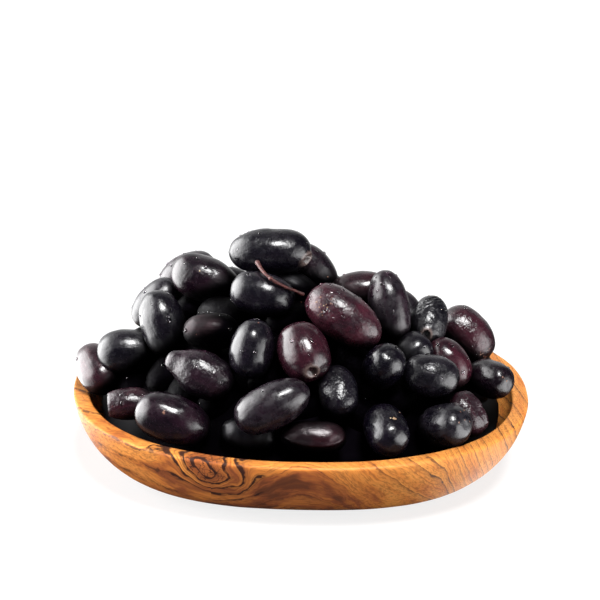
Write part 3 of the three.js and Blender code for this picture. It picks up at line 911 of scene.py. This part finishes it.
class FrontView:
    """What the front olives cover on the board, as discs seen from the sight point."""

    def __init__(self, front):
        seen = [self.discs(olive) for olive in front]
        self.across, self.up, self.radii, self.away = (np.concatenate(part) for part in zip(*seen))

    def discs(self, olive):
        """Where the balls of an olive appear on the board, how large, and how far away."""
        board_foot = np.array((0.0, 0.0, DISH_HEIGHT))
        sight = olive.balls - SIGHT_POINT
        away = -sight @ BOARD_OUT
        scale = (SIGHT_POINT - board_foot) @ BOARD_OUT / away
        spots = SIGHT_POINT + sight * scale[:, None] - board_foot
        return spots @ BOARD_ACROSS, spots @ BOARD_UP, olive.radii * scale, away

    def outline(self, olive):
        """Points round each ball of an olive, as columns, to set against every disc."""
        across, up, radii, away = (values[:, None] for values in self.discs(olive))
        across = across + radii * np.cos(ROUND_A_BALL)
        up = up + radii * np.sin(ROUND_A_BALL)
        return (values.reshape(-1, 1) for values in np.broadcast_arrays(across, up, away))

    def stands_out(self, olive):
        """Whether an olive shows over the upper outline of the front ones."""
        across, up, _ = self.outline(olive)
        off = across - self.across
        tops = self.up + np.sqrt(np.maximum(self.radii**2 - off**2, 0))
        return bool((up[:, 0] >= np.where(np.abs(off) < self.radii, tops, -np.inf).max(axis=1)).any())

    def hidden_share(self, olive):
        """How much of an olive's outline lies behind front olives."""
        across, up, away = self.outline(olive)
        is_behind = (np.hypot(across - self.across, up - self.up) < self.radii) & (self.away < away)
        return is_behind.any(axis=1).mean()


# %% Olives by rule
def add_olives(placed, view, chance, tries, depth, squeeze, reach, on_back, least_hidden):
    """More olives on a surface `depth` under the mound's own, along a spiral from its top."""
    for i in range(tries):
        out = reach * math.sqrt((i + 0.5) / tries)
        angle = i * GOLDEN_TURN
        x = HEAP_TOP_X + out * math.cos(angle) * heap_reach_x(math.cos(angle))
        y = HEAP_TOP_Y + out * math.sin(angle) * heap_reach_y(math.sin(angle))
        turn = chance.draw(0, math.pi)
        dip = chance.draw(-MOST_DIP, MOST_DIP)
        half_length = chance.draw(*OLIVE_LENGTHS) / 2
        half_width = half_length * chance.draw(*OLIVE_SLENDERNESS)
        sink = depth + chance.draw(-DEPTH_SPREAD, DEPTH_SPREAD)
        if (y > BACK_EDGE) != on_back:
            continue
        normal = heap_normal(x, y)
        downhill = unit(np.cross(normal, (0.0, 1.0, 0.0)))
        level = np.cross(normal, downhill)
        axis = tilted(turn, dip, downhill, level, normal)
        middle = np.array((x, y, heap_height(x, y))) - normal * sink
        olive = Olive(middle, axis, half_length, half_width)
        if gap_to_dish(olive) < GAP or gap_between(olive, placed) < -squeeze:
            continue
        if not view.stands_out(olive) and view.hidden_share(olive) >= least_hidden:
            placed.append(olive)


# %% Place all olives
BACK_EDGE = HEAP_TOP_Y + 8
LAYERS = [
    # tries, depth, squeeze, reach, on the back, least share hidden from the front
    (1500, 3, 1.2, 1.0, True, 0),
    (3000, 7, 2.2, 0.98, True, 0),
    (3000, 5, 2.2, 0.98, False, 0.95),
    (3000, 11, 2.2, 0.95, False, 0),
]
INNER_LAYERS = [(2500, 17, 2.0, 0.85, True, 0), (2500, 17, 2.0, 0.85, False, 0)]

chance = Chance(7)
olives = [front_olive(row) for row in FRONT_OLIVES]
for number, pitted in PITTED.items():
    olives[number - 1].pitted = pitted
front_view = FrontView(olives)
for layer in LAYERS:
    add_olives(olives, front_view, chance, *layer)
outer_count = len(olives)
for layer in INNER_LAYERS:
    add_olives(olives, front_view, chance, *layer)
print(len(FRONT_OLIVES), "front olives,", outer_count, "outer ones,", len(olives), "in all")

# %% [markdown]
# ## Modelling an olive
# No two olives are alike, but six shapes cover them: a smooth one, one whose stem came off and
# left a small open crater, one with slits beside such a crater, one with a fold along its side,
# one that is drawn out to a neck, and one whose end is cut off. Each is modelled once, as a ball
# of unit size with its stem end up, and is stretched later to the size of each olive.
# Proportional editing pulls a vertex and, more softly, its neighbours.

# %% The olive shapes
OLIVE_SEGMENTS, OLIVE_RINGS = 48, 34
OLIVE_BLUNTNESS = 0.81  # 1 is an ellipse, less has blunter ends
BLOSSOM_TAPER = 0.05  # how much narrower the blossom end is
TAPERS = {"necked": -0.24}  # where the stem end is the narrower one
FINER = {"slit": 2}  # how much finer a shape's mesh is than the others
SCAR_ANGLES = {"open": 30, "slit": 45}  # degrees between the crater and the stem end
SCAR_OUT = 1.03  # how far out its middle is
SCAR_RADIUS, SCAR_LIP = 0.19, 0.34
SCAR_DEPTH, LIP_RISE = 0.13, 0.03
SLITS = (-0.80, -0.64, -0.48)  # how high each slit is in the middle
SLIT_SLOPE, SLIT_SPAN = 0.6, (-0.55, 0.75)
SLIT_HALF, SLIT_DEPTH = 0.03, 0.06  # half its width, and its depth
FOLD_HALF, FOLD_DEPTH, FOLD_LIP = 0.2, 0.07, (-0.5, -0.36)
CUT_HEIGHT, CUT_RADIUS, CUT_DEPTH, CUT_LIP = 0.76, 0.62, 0.14, 0.04
LIP_WIDTH = 0.11


def pull(piece, wanted, value, reach, falloff="SMOOTH"):
    """Moves the vertices that pass the test, and more softly what lies within reach."""
    select_vertices(piece, wanted)
    bpy.ops.transform.translate(value=value, use_proportional_edit=True,
                                proportional_edit_falloff=falloff, proportional_size=reach)


def give_tip(piece):
    """The blossom end runs out into a faint tip, and the stem end is dished in."""
    pull(piece, lambda place: place.z < -0.999, (0, 0, -0.02), 0.2)
    pull(piece, lambda place: place.z > 0.999, (0, 0, -0.03), 0.22)
    pull(piece, lambda place: 0.25 < place.z < 0.45, (0, 0, 0.05), 0.7)


def scar_place(shape):
    """Where the crater of a shape is, a little outside the unit ball."""
    angle = math.radians(SCAR_ANGLES[shape])
    return Vector((math.sin(angle), 0, math.cos(angle))) * SCAR_OUT


def sink_crater(piece, shape="open"):
    """The stem has come off: a crater with a raised lip, a little to the side of the end."""
    give_tip(piece)
    scar = scar_place(shape)
    pull(piece, lambda place: SCAR_RADIUS < (place - scar).length < SCAR_LIP, scar * LIP_RISE, 0.12)
    pull(piece, lambda place: (place - scar).length < SCAR_RADIUS, scar * -SCAR_DEPTH, 0.08)


def cut_slits(piece):
    """The same, with three parallel slits across the other half of its front."""
    sink_crater(piece, "slit")
    for height in SLITS:
        pull(piece, lambda place: place.x > 0.2 and SLIT_SPAN[0] < place.y < SLIT_SPAN[1]
             and abs(place.z - SLIT_SLOPE * place.y - height) < SLIT_HALF,
             (-SLIT_DEPTH, 0, 0), 0.07, "SHARP")


def fold_side(piece):
    """A fold runs along the side that faces +X: a flat, sunken strip with one sharp lip."""
    give_tip(piece)
    pull(piece, lambda place: place.x > 0.3 and abs(place.y) < FOLD_HALF, (-FOLD_DEPTH, 0, 0), 0.45)
    pull(piece, lambda place: place.x > 0.25 and FOLD_LIP[0] < place.y < FOLD_LIP[1],
         (FOLD_DEPTH, -0.05, 0), 0.16, "SHARP")


def draw_neck(piece):
    """The end narrows softly to a round nub."""
    pull(piece, lambda place: place.z > 0.9, (0, 0, 0.16), 0.34)


def cut_end(piece):
    """The end is cut off: a flat face with a thin raised lip round it."""
    give_tip(piece)
    select_vertices(piece, lambda place: place.z > CUT_HEIGHT)
    bpy.ops.transform.resize(value=(1, 1, 0), center_override=(0, 0, CUT_HEIGHT))
    face = CUT_HEIGHT - 0.01
    pull(piece, lambda place: place.z > face and place.xy.length < CUT_RADIUS - 0.08,
         (0, 0, -CUT_DEPTH), 0.06)
    pull(piece, lambda place: place.z > face and place.xy.length > CUT_RADIUS - 0.06,
         (0, 0, CUT_LIP), 0.06)


def model_olive(shape, give_form):
    """A ball with blunt ends, one of them narrower, is given its form and unit size again."""
    finer, taper = FINER.get(shape, 1), TAPERS.get(shape, BLOSSOM_TAPER)
    piece = add_primitive(bpy.ops.mesh.primitive_uv_sphere_add, shape + "_olive", radius=1,
                          segments=OLIVE_SEGMENTS * finer, ring_count=OLIVE_RINGS * finer)
    for vertex in piece.data.vertices:
        out = vertex.co.xy.length
        if 0 < out < 1:
            vertex.co.xy *= out ** (OLIVE_BLUNTNESS - 1) * (1 + taper * vertex.co.z * abs(vertex.co.z))
    open_for_editing(piece)
    give_form(piece)
    close_editing()
    bpy.ops.object.shade_smooth()
    heights = [vertex.co.z for vertex in piece.data.vertices]
    low, high = min(heights), max(heights)
    widest = max(vertex.co.xy.length for vertex in piece.data.vertices)
    for vertex in piece.data.vertices:
        vertex.co.z = (vertex.co.z - (high + low) / 2) * 2 / (high - low)
        vertex.co.xy /= widest
    return piece


FORMS = {"smooth": give_tip, "open": sink_crater, "slit": cut_slits, "creased": fold_side,
         "necked": draw_neck, "cut": cut_end}
OLIVE_SHAPES = {shape: model_olive(shape, give_form) for shape, give_form in FORMS.items()}
print("olive shapes:", {shape: count_triangles(piece) for shape, piece in OLIVE_SHAPES.items()})

# %% [markdown]
# ## Laying the olives
# Each olive is a copy of a shape with its own mesh: stretched to its length and width, turned to
# its axis and moved to its place. The copy also carries what its skin needs to know: each point's
# own place on the olive, so that marks run along it, and a few numbers that hold for the whole
# olive. Olives of one skin are then joined to one piece, and pushed a little out of true.

# %% Copies
SKINS = ("black", "purple", "wine")
SKIN_BOUNDS = (0.45, 0.80, 1.0)  # chances below each of these give each skin
OPEN_CHANCE, CREASED_CHANCE = 0.18, 0.26  # and these the shapes
MOST_BLOOM, PITTED_RANGE = 0.45, (-0.6, 0.9)
# The depths below set how much of each olive's skin is painted black as shade.
RIM_SHADE, FRONT_RIM_SHADE = 3.0, -7.0  # how far over the rim the dark in the dish reaches
FRONT_RAISED, SUNK_RAISED = 1.2, 0.5  # front olives count as less deep, sunken ones more so
SUNK_FROM, SUNK_SHADED = 3.5, 0.85  # those placed by rule count as deeper, past a depth
OLIVE_DENT_SIZE, OLIVE_DENT_DEPTH = 7 * MM, 0.7 * MM
PLACE_STEP = 40  # millimetres between the places of two olives in the patterns of the skin
looks = Chance(23)


def give_chance_looks(olive):
    """An olive that is placed by rule gets its looks by chance draws."""
    share = looks.draw(0, 1)
    olive.skin = next(skin for skin, bound in zip(SKINS, SKIN_BOUNDS) if share < bound)
    share = looks.draw(0, 1)
    olive.shape = "open" if share < OPEN_CHANCE else "creased" if share < CREASED_CHANCE else "smooth"
    olive.stem = 1 if looks.draw(0, 1) < 0.5 else -1
    olive.roll = looks.draw(-180, 180)
    olive.bloom = looks.draw(0, MOST_BLOOM)
    olive.pitted = looks.draw(*PITTED_RANGE)


def olive_turn(olive):
    """Stem end along the axis or against it, and +X rolled from where it faces the front."""
    length = olive.axis * olive.stem
    side = unit(np.cross(length, BOARD_OUT) + 1e-6)
    face = np.cross(side, length)
    turn = Matrix((face, side, length)).transposed().to_quaternion()
    return turn @ Quaternion((0, 0, 1), math.radians(olive.roll))


# %% What a skin needs to know
def write_attribute(mesh, name, kind, values):
    attribute = mesh.attributes.new(name, kind, "POINT")
    attribute.data.foreach_set("vector" if kind == "FLOAT_VECTOR" else "value", values)


def write_depth(piece, rim_shade, raised=0.0):
    """Tells the skin how deep in the heap each point lies, which sets its painted shade."""
    points = np.empty(len(piece.data.vertices) * 3, np.float32)
    piece.data.vertices.foreach_get("co", points)
    depth = depth_in_heap(points.reshape(-1, 3) / MM, rim_shade) - raised
    write_attribute(piece.data, "depth_in_heap", "FLOAT", depth.astype(np.float32))


def lip_share(shape, places):
    """1 on the lip round a crater or a cut, 0 elsewhere, for places on the unit shape."""
    if shape in SCAR_ANGLES:
        off_lip = np.linalg.norm(places - scar_place(shape), axis=1) - (SCAR_RADIUS + SCAR_LIP) / 2
    elif shape == "cut":
        off_lip = np.hypot(places[:, 2] - 1, np.hypot(places[:, 0], places[:, 1]) - CUT_RADIUS)
    else:
        return np.zeros(len(places))
    return np.clip(1 - np.abs(off_lip) / LIP_WIDTH, 0, 1)


def raised_by(olive, number, shade):
    """How much less deep an olive counts than it lies, for its painted shade."""
    sunk = float(depth_in_heap(olive.middle[None, :], shade)[0])
    if number < len(FRONT_OLIVES):
        return FRONT_RAISED + SUNK_RAISED * max(0.0, sunk) - SHADED.get(number + 1, 0.0)
    return -SUNK_SHADED * max(0.0, sunk - SUNK_FROM)


# %% Lay all olives
def lay_olive(olive, number):
    piece = copy_piece(OLIVE_SHAPES[olive.shape])
    mesh = piece.data
    size = Vector((olive.half_width, olive.half_width, olive.half_length))
    mesh.transform(Matrix.Diagonal(size).to_4x4())
    places = np.empty(len(mesh.vertices) * 3, np.float32)
    mesh.vertices.foreach_get("co", places)
    places = places.reshape(-1, 3)
    write_attribute(mesh, "lip", "FLOAT", lip_share(olive.shape, places / size).astype(np.float32))
    write_attribute(mesh, "own_place", "FLOAT_VECTOR", (places + PLACE_STEP * number).ravel())
    for name, value in (("bloom", olive.bloom), ("pitted", olive.pitted), ("own_tone", looks.draw(0, 1))):
        write_attribute(mesh, name, "FLOAT", np.full(len(places), value, np.float32))
    turn = olive_turn(olive).to_matrix().to_4x4()
    mesh.transform(Matrix.Translation(Vector(olive.middle) * MM) @ turn @ Matrix.Scale(MM, 4))
    shade = FRONT_RIM_SHADE if number < len(FRONT_OLIVES) else RIM_SHADE
    write_depth(piece, shade, raised_by(olive, number, shade))
    return piece


def lay_olives(skin):
    """All olives of one skin, as one piece."""
    chosen = [lay_olive(olive, number) for number, olive in enumerate(olives) if olive.skin == skin]
    piece = join_pieces(chosen, "olives_" + skin)
    roughen(piece, OLIVE_DENT_SIZE, OLIVE_DENT_DEPTH)
    return piece


for olive in olives[len(FRONT_OLIVES):]:
    give_chance_looks(olive)
olive_pieces = {skin: lay_olives(skin) for skin in SKINS}
for shape in OLIVE_SHAPES.values():
    bpy.data.objects.remove(shape)
print("olives:", {skin: count_triangles(piece) for skin, piece in olive_pieces.items()})

# %% [markdown]
# ## Olive skin
# A ripe olive is nearly black, with blue in the highlights and wine red where the flesh shines
# through. Brine leaves it wet: the skin itself is smooth enough to mirror the lamps, and a thin
# coat adds a film over it. Fine pits break up the edge of each highlight. A dusty bloom, where
# there is some, makes the skin paler and duller. Deep in the heap, where no lamp reaches, shade is
# painted: the skin is painted black and its shine is taken away.

# %% Olive skin materials
PAINTED_SHADE_DEPTHS = (-4.0, 1.8)  # depths in the heap, in millimetres, between which painted shade turns skins black
SHADE_BLACK = (0.0008, 0.0006, 0.0010, 1)
DUST = (0.20, 0.18, 0.21, 1)
# Pale flesh of a torn lip, brightened as a painted highlight of its glints.
LIP_FLESH_AND_GLINT = (0.28, 0.20, 0.18, 1)
SKIN_COLOURS = {
    # deep, flushed, specks
    "black": ((0.0015, 0.0012, 0.0030, 1), (0.0055, 0.0034, 0.0072, 1), (0.030, 0.022, 0.028, 1)),
    "purple": ((0.0034, 0.0016, 0.0036, 1), (0.0170, 0.0056, 0.0115, 1), (0.055, 0.030, 0.036, 1)),
    "wine": ((0.0100, 0.0031, 0.0058, 1), (0.0500, 0.0090, 0.0170, 1), (0.120, 0.048, 0.045, 1)),
}


def attribute(wiring, name, output="Fac"):
    return wiring.add("Attribute", output=output, attribute_name=name)


def skin_relief(wiring, own, lengthwise):
    """Pits, wrinkles, dents and ripples, one bump over the other."""
    pitted = attribute(wiring, "pitted")
    pits = wiring.noise(own, 1.5, roughness=0.65) * (pitted * 0.7 + 0.5)
    wrinkles = wiring.noise(own, 0.55, detail=2.0) * pitted
    dents = wiring.noise(own, 0.16, detail=2.0, roughness=0.5)
    ripples = wiring.noise(lengthwise, 0.9, detail=2.0)
    normal = None
    for height, depth in ((pits, 0.07), (wrinkles, 0.45), (dents, 0.4), (ripples, 0.08)):
        normal = wiring.bump(height, depth * MM, normal)
    return normal


def make_skin(name, deep, flush, speck):
    """Skin between a deep colour and a flushed one, sown with specks."""
    material, wiring, shader = new_material(name)
    own = attribute(wiring, "own_place", "Vector")
    lengthwise = own.vector("MULTIPLY", (1.0, 1.0, 0.14))
    flushed = attribute(wiring, "own_tone").spread(0.0, 1.0, 0.3, 1.0)
    patches = wiring.noise(own, 0.11).spread(0.38, 0.72)
    streaks = wiring.noise(lengthwise, 0.8).spread(0.45, 0.8)
    dots = wiring.group(specks_group, own, Fineness=0.75, Share=0.3, Size=0.2)
    dusty = wiring.noise(own, 0.35, detail=5.0, roughness=0.7).spread(0.35, 0.7)
    dusty = attribute(wiring, "bloom") * dusty
    # Painted shade: the deeper a point lies in the heap, the more its skin is painted black.
    dark = attribute(wiring, "depth_in_heap").spread(*PAINTED_SHADE_DEPTHS)
    # The lip is painted pale: partly the flesh's own colour, partly a painted highlight.
    colour = wiring.paint(
        deep, (patches * flushed, flush), (streaks * 0.35, flush), (dots * 0.5, speck),
        (dusty * 0.15, DUST), (attribute(wiring, "lip") * 0.5, LIP_FLESH_AND_GLINT), (dark, SHADE_BLACK))
    mist = wiring.noise(own, 0.5).spread(0.3, 0.7, 0.19, 0.31)
    # Painted shade also sets Metallic, adds Roughness and takes away Coat Weight, so deep skin has no
    # shine.
    wiring.feed(shader, {
        "Base Color": colour, "Metallic": dark, "Roughness": mist + dusty * 0.25 + dark * 0.3,
        "Normal": skin_relief(wiring, own, lengthwise), "Coat Weight": (1.0 - dark) * 0.3,
        "Coat Roughness": 0.16, "Coat IOR": 1.4, "IOR": 1.45})
    return material


for skin, colours in SKIN_COLOURS.items():
    dress(olive_pieces[skin], make_skin("wet_olive_skin_" + skin, *colours))

# %% [markdown]
# ## The core of the heap
# Between the outer olives the eye looks into the dark, at the deeper layers of olives that are
# laid above. Below them a plain core fills the well, so that no light shines through. Its skin is
# the olive skin, painted black all over as shade. It starts as a ball whose upper half is pressed
# onto the mound, deep under it, and whose lower half fills the well.

# %% Core
CORE_DEPTH = 12
CORE_CLEARANCE = 1.0
CORE_EDGE_HEIGHT = 18.5
CORE_DENT_SIZE, CORE_DENT_DEPTH = 9 * MM, 1.2 * MM
BESIDE = 0.01  # a step off the middle of the mound, where its formula has no value


def core_point(place):
    """Where a point of the unit ball goes: the well below, the mound above."""
    out = min(1.0, place.xy.length)
    angle = math.atan2(place.y, place.x)
    height = CORE_EDGE_HEIGHT
    if place.z < 0:
        height = FLOOR_THICKNESS + CORE_CLEARANCE + (CORE_EDGE_HEIGHT - FLOOR_THICKNESS) * (1 + place.z)
    inset = wall_inset((DISH_HEIGHT - height) / WELL_DEPTH, WELL_INSET, INNER_FULLNESS)
    edge = oval_point(angle, RIM_WIDTH + inset + 2 * CORE_CLEARANCE, height)
    x, y = edge.x * out, edge.y * out
    if place.z >= 0:
        height = max(CORE_EDGE_HEIGHT, float(heap_height(x, y + BESIDE)) - CORE_DEPTH)
    return Vector((x, y, height)) * MM


core = add_primitive(bpy.ops.mesh.primitive_uv_sphere_add, "heap_core", segments=64,
                     ring_count=32, radius=1)
for vertex in core.data.vertices:
    vertex.co = core_point(vertex.co)
roughen(core, CORE_DENT_SIZE, CORE_DENT_DEPTH)
# Painted shade: the core lies deep, so its skin is painted black all over.
write_depth(core, RIM_SHADE)
bpy.ops.object.shade_smooth()
dress(core, make_skin("shaded_olive_skin", *SKIN_COLOURS["black"]))

# %% [markdown]
# ## The stalk
# One dry stalk has stayed with the olives. It is a curve through a few points with a round
# profile, thicker at the knob where it broke off the twig. A Bezier curve with automatic handles
# bends as smoothly as a real one, and converting it gives a mesh like all other pieces.

# %% Stalk
STALK_ROUTE = [(-15.8, 41.2, 17), (-14, 38.5, 15.5), (-12, 36.5, 13.7), (-9, 34.6, 11.3),
               (-6, 33.2, 9), (-3, 32, 6.6), (0.2, 30.8, 5)]
STALK_WIDTHS = (1.5, 1.15, 0.9, 1.05, 0.85, 0.95, 1.2)  # how thick it is at each point
STALK_THICKNESS = 1.0
KNOBS = {"knob": (STALK_ROUTE[0], 1.7), "bud": ((-11.2, 35.9, 13.6), 1.5)}  # place, thickness
BARK_DENT_SIZE, BARK_DENT_DEPTH = 0.8 * MM, 0.22 * MM
BARK_COLOURS = [(0.3, (0.014, 0.003, 0.003, 1)), (0.55, (0.058, 0.012, 0.011, 1)),
                (0.8, (0.22, 0.080, 0.065, 1))]


def model_stalk():
    piece = add_primitive(bpy.ops.curve.primitive_bezier_curve_add, "dry_stalk")
    spline = piece.data.splines[0]
    spline.bezier_points.add(len(STALK_ROUTE) - len(spline.bezier_points))
    for point, row, width in zip(spline.bezier_points, STALK_ROUTE, STALK_WIDTHS):
        point.co = Vector(seat(*row)) * MM
        point.handle_left_type = point.handle_right_type = "AUTO"
        point.radius = width
    piece.data.bevel_depth = STALK_THICKNESS / 2 * MM
    piece.data.bevel_resolution = 6
    piece.data.resolution_u = 16
    piece.data.use_fill_caps = True
    bpy.ops.object.convert(target="MESH")
    return piece


def model_knob(name):
    place, thickness = KNOBS[name]
    piece = add_primitive(bpy.ops.mesh.primitive_uv_sphere_add, name, segments=20, ring_count=14,
                          radius=thickness / 2 * MM, location=Vector(seat(*place)) * MM)
    bpy.ops.object.transform_apply(location=True)
    return piece


def make_stalk_bark():
    material, wiring, shader = new_material("dry_stalk_bark")
    streaks = wiring.group(grain_group, wiring.millimetres(), Fineness=2.2, Stretch=6.0)
    wiring.feed(shader, {"Base Color": wiring.colours(streaks, BARK_COLOURS),
                         "Roughness": streaks.spread(0.3, 0.8, 0.45, 0.7),
                         "Normal": wiring.bump(streaks, 0.08 * MM)})
    return material


stalk = join_pieces([model_stalk(), *(model_knob(name) for name in KNOBS)], "dry_stalk")
roughen(stalk, BARK_DENT_SIZE, BARK_DENT_DEPTH)
bpy.ops.object.shade_smooth()
dress(stalk, make_stalk_bark())

# %% [markdown]
# ## Crumbs and brine
# The olives come wet from their jar, with drops of brine and a few crumbs of herbs and skin on
# them. Small things like these are modelled once, with few faces, and copied. To lay a copy onto
# the heap, a ray is shot at the olives and the copy is set where it hits, flat on the skin. The
# drops are strewn from all sides by chance; some crumbs have places of their own.

# %% Rays at the heap
RAY_LIFTS = (0.1, 1.3)  # how steeply rays come down, in radians
AIM_BOX = ((-58, 58), (-44, 44), (25, 60))  # what they aim at, in millimetres
RAY_START = 300 * MM


def hit_olives(start, direction):
    """Where a ray first meets an olive, and the way out of its skin there, or None."""
    depsgraph = bpy.context.evaluated_depsgraph_get()
    found, point, normal, _, hit, _ = bpy.context.scene.ray_cast(depsgraph, start, direction)
    return (point, normal) if found and hit in olive_pieces.values() else None


def hit_from_front(across, up):
    """The same for the sight line through a place on the board."""
    return hit_olives(Vector(SIGHT_POINT) * MM, Vector(unit(on_board(across, up) - SIGHT_POINT)))


def hit_from_around(chance):
    """The same for a ray from anywhere round the heap at a place within it."""
    angle, lift = chance.draw(0, 2 * math.pi), chance.draw(*RAY_LIFTS)
    away = Vector((math.cos(lift) * math.cos(angle), math.cos(lift) * math.sin(angle), math.sin(lift)))
    aim = Vector([chance.draw(*side) for side in AIM_BOX]) * MM
    return hit_olives(aim + away * RAY_START, -away)


def strew(shape, places, name):
    """Copies of a shape at (point, normal, size, turn), joined to one piece."""
    copies = []
    for point, normal, size, turn in places:
        copies.append(copy_piece(shape))
        stand = (normal.to_track_quat("Z", "Y") @ Quaternion((0, 0, 1), turn)).to_matrix().to_4x4()
        copies[-1].data.transform(Matrix.Translation(point) @ stand @ Matrix.Scale(size * MM, 4))
    bpy.data.objects.remove(shape)
    print(name + ":", len(copies))
    return join_pieces(copies, name)


# %% Drops of brine
DROP_COUNT = 340
DROP_SIZES = (0.5, 1.5)
DROP_FORM = (1.15, 1, 0.6)


def model_drop():
    """A drop of unit width, a little flattened, that is sunk into the skin it sits on."""
    shape = add_primitive(bpy.ops.mesh.primitive_uv_sphere_add, "drop", segments=10, ring_count=6,
                          radius=0.5)
    shape.data.transform(Matrix.Diagonal(DROP_FORM).to_4x4())
    bpy.ops.object.shade_smooth()
    return shape


def make_brine():
    material, wiring, shader = new_material("clear_brine")
    thickness = wiring.noise(wiring.millimetres(), 1.5, detail=2.0, roughness=0.5)
    wiring.feed(shader, {
        "Base Color": (0.9, 0.85, 0.9, 1), "Normal": wiring.bump(thickness, 0.02 * MM),
        "Roughness": 0.04, "IOR": 1.45, "Specular IOR Level": 1.0, "Transmission Weight": 1.0})
    return material


chance = Chance(41)
hits = [hit_from_around(chance) for i in range(DROP_COUNT)]
drop_places = [(*hit, chance.draw(*DROP_SIZES), chance.draw(0, math.pi)) for hit in hits if hit]
brine_drops = strew(model_drop(), drop_places, "brine_drops")
dress(brine_drops, make_brine())

# %% Crumbs
CRUMB_SPOTS = [
    # across, up, size, spread, how many
    (7.0, 27.0, 0.6, 3.2, 22),
    (62.5, 12.5, 0.8, 2.2, 9),
    (-47.0, -10.5, 0.9, 1.0, 3),
    (31.5, -10.0, 1.0, 1.0, 3),
    (68.5, 3.5, 0.7, 1.2, 3),
    (55.0, -9.0, 0.6, 2.5, 5),
]
LOOSE_CRUMBS = 26
LOOSE_SIZES, SPOT_SIZES = (0.3, 0.7), (0.5, 1.1)
CRUMB_FORM, CRUMB_UNEVENNESS = (1.3, 0.8, 0.45), 0.16
CRUMB_COLOURS = [(0.35, (0.09, 0.030, 0.022, 1)), (0.5, (0.22, 0.11, 0.075, 1)),
                 (0.65, (0.38, 0.29, 0.17, 1))]


def model_crumb():
    """A chip of unit width with uneven corners."""
    shape = add_primitive(bpy.ops.mesh.primitive_ico_sphere_add, "crumb", subdivisions=1, radius=0.5)
    open_for_editing(shape)
    bpy.ops.mesh.select_all(action="SELECT")
    bpy.ops.transform.vertex_random(offset=CRUMB_UNEVENNESS, seed=3)
    bpy.ops.transform.resize(value=CRUMB_FORM)
    close_editing()
    return shape


def make_crumb_skin():
    material, wiring, shader = new_material("herb_crumbs")
    tone = wiring.noise(wiring.millimetres(), 0.35, detail=2.0, roughness=0.5)
    wiring.feed(shader, {"Base Color": wiring.colours(tone, CRUMB_COLOURS), "Roughness": 0.35})
    return material


chance = Chance(57)
crumb_hits = []
for across, up, size, spread, count in CRUMB_SPOTS:
    for i in range(count):
        hit = hit_from_front(across + chance.draw(-spread, spread), up + chance.draw(-spread, spread))
        crumb_hits.append((hit, size * chance.draw(*SPOT_SIZES)))
crumb_hits += [(hit_from_around(chance), chance.draw(*LOOSE_SIZES)) for i in range(LOOSE_CRUMBS)]
crumb_places = [(*hit, size, chance.draw(0, 2 * math.pi)) for hit, size in crumb_hits if hit]
crumbs = strew(model_crumb(), crumb_places, "crumbs")
dress(crumbs, make_crumb_skin())

# %% [markdown]
# ## Hand over
# Every piece rides on the part's one body, and the solid that it stands for is hidden. Each row of
# the table also lists the slot of the record that the piece's finish belongs to. The two boxes are
# written down, so that the sizes of the
# solids and of the dressed model can be compared.

# %% Hand over
ROLES = [
    (dish, "dish", "olive_wood"),
    (olive_pieces["black"], "olive_heap", "olive_skin"),
    (olive_pieces["purple"], "olive_heap", "olive_skin"),
    (olive_pieces["wine"], "olive_heap", "olive_skin"),
    (core, "olive_heap", "olive_skin"),
    (brine_drops, "olive_heap", "olive_skin"),
    (crumbs, "olive_heap", "olive_skin"),
    (stalk, "stalk", "stalk_wood"),
]
for piece, node, slot in ROLES:
    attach(piece, "root")
    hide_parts(node)
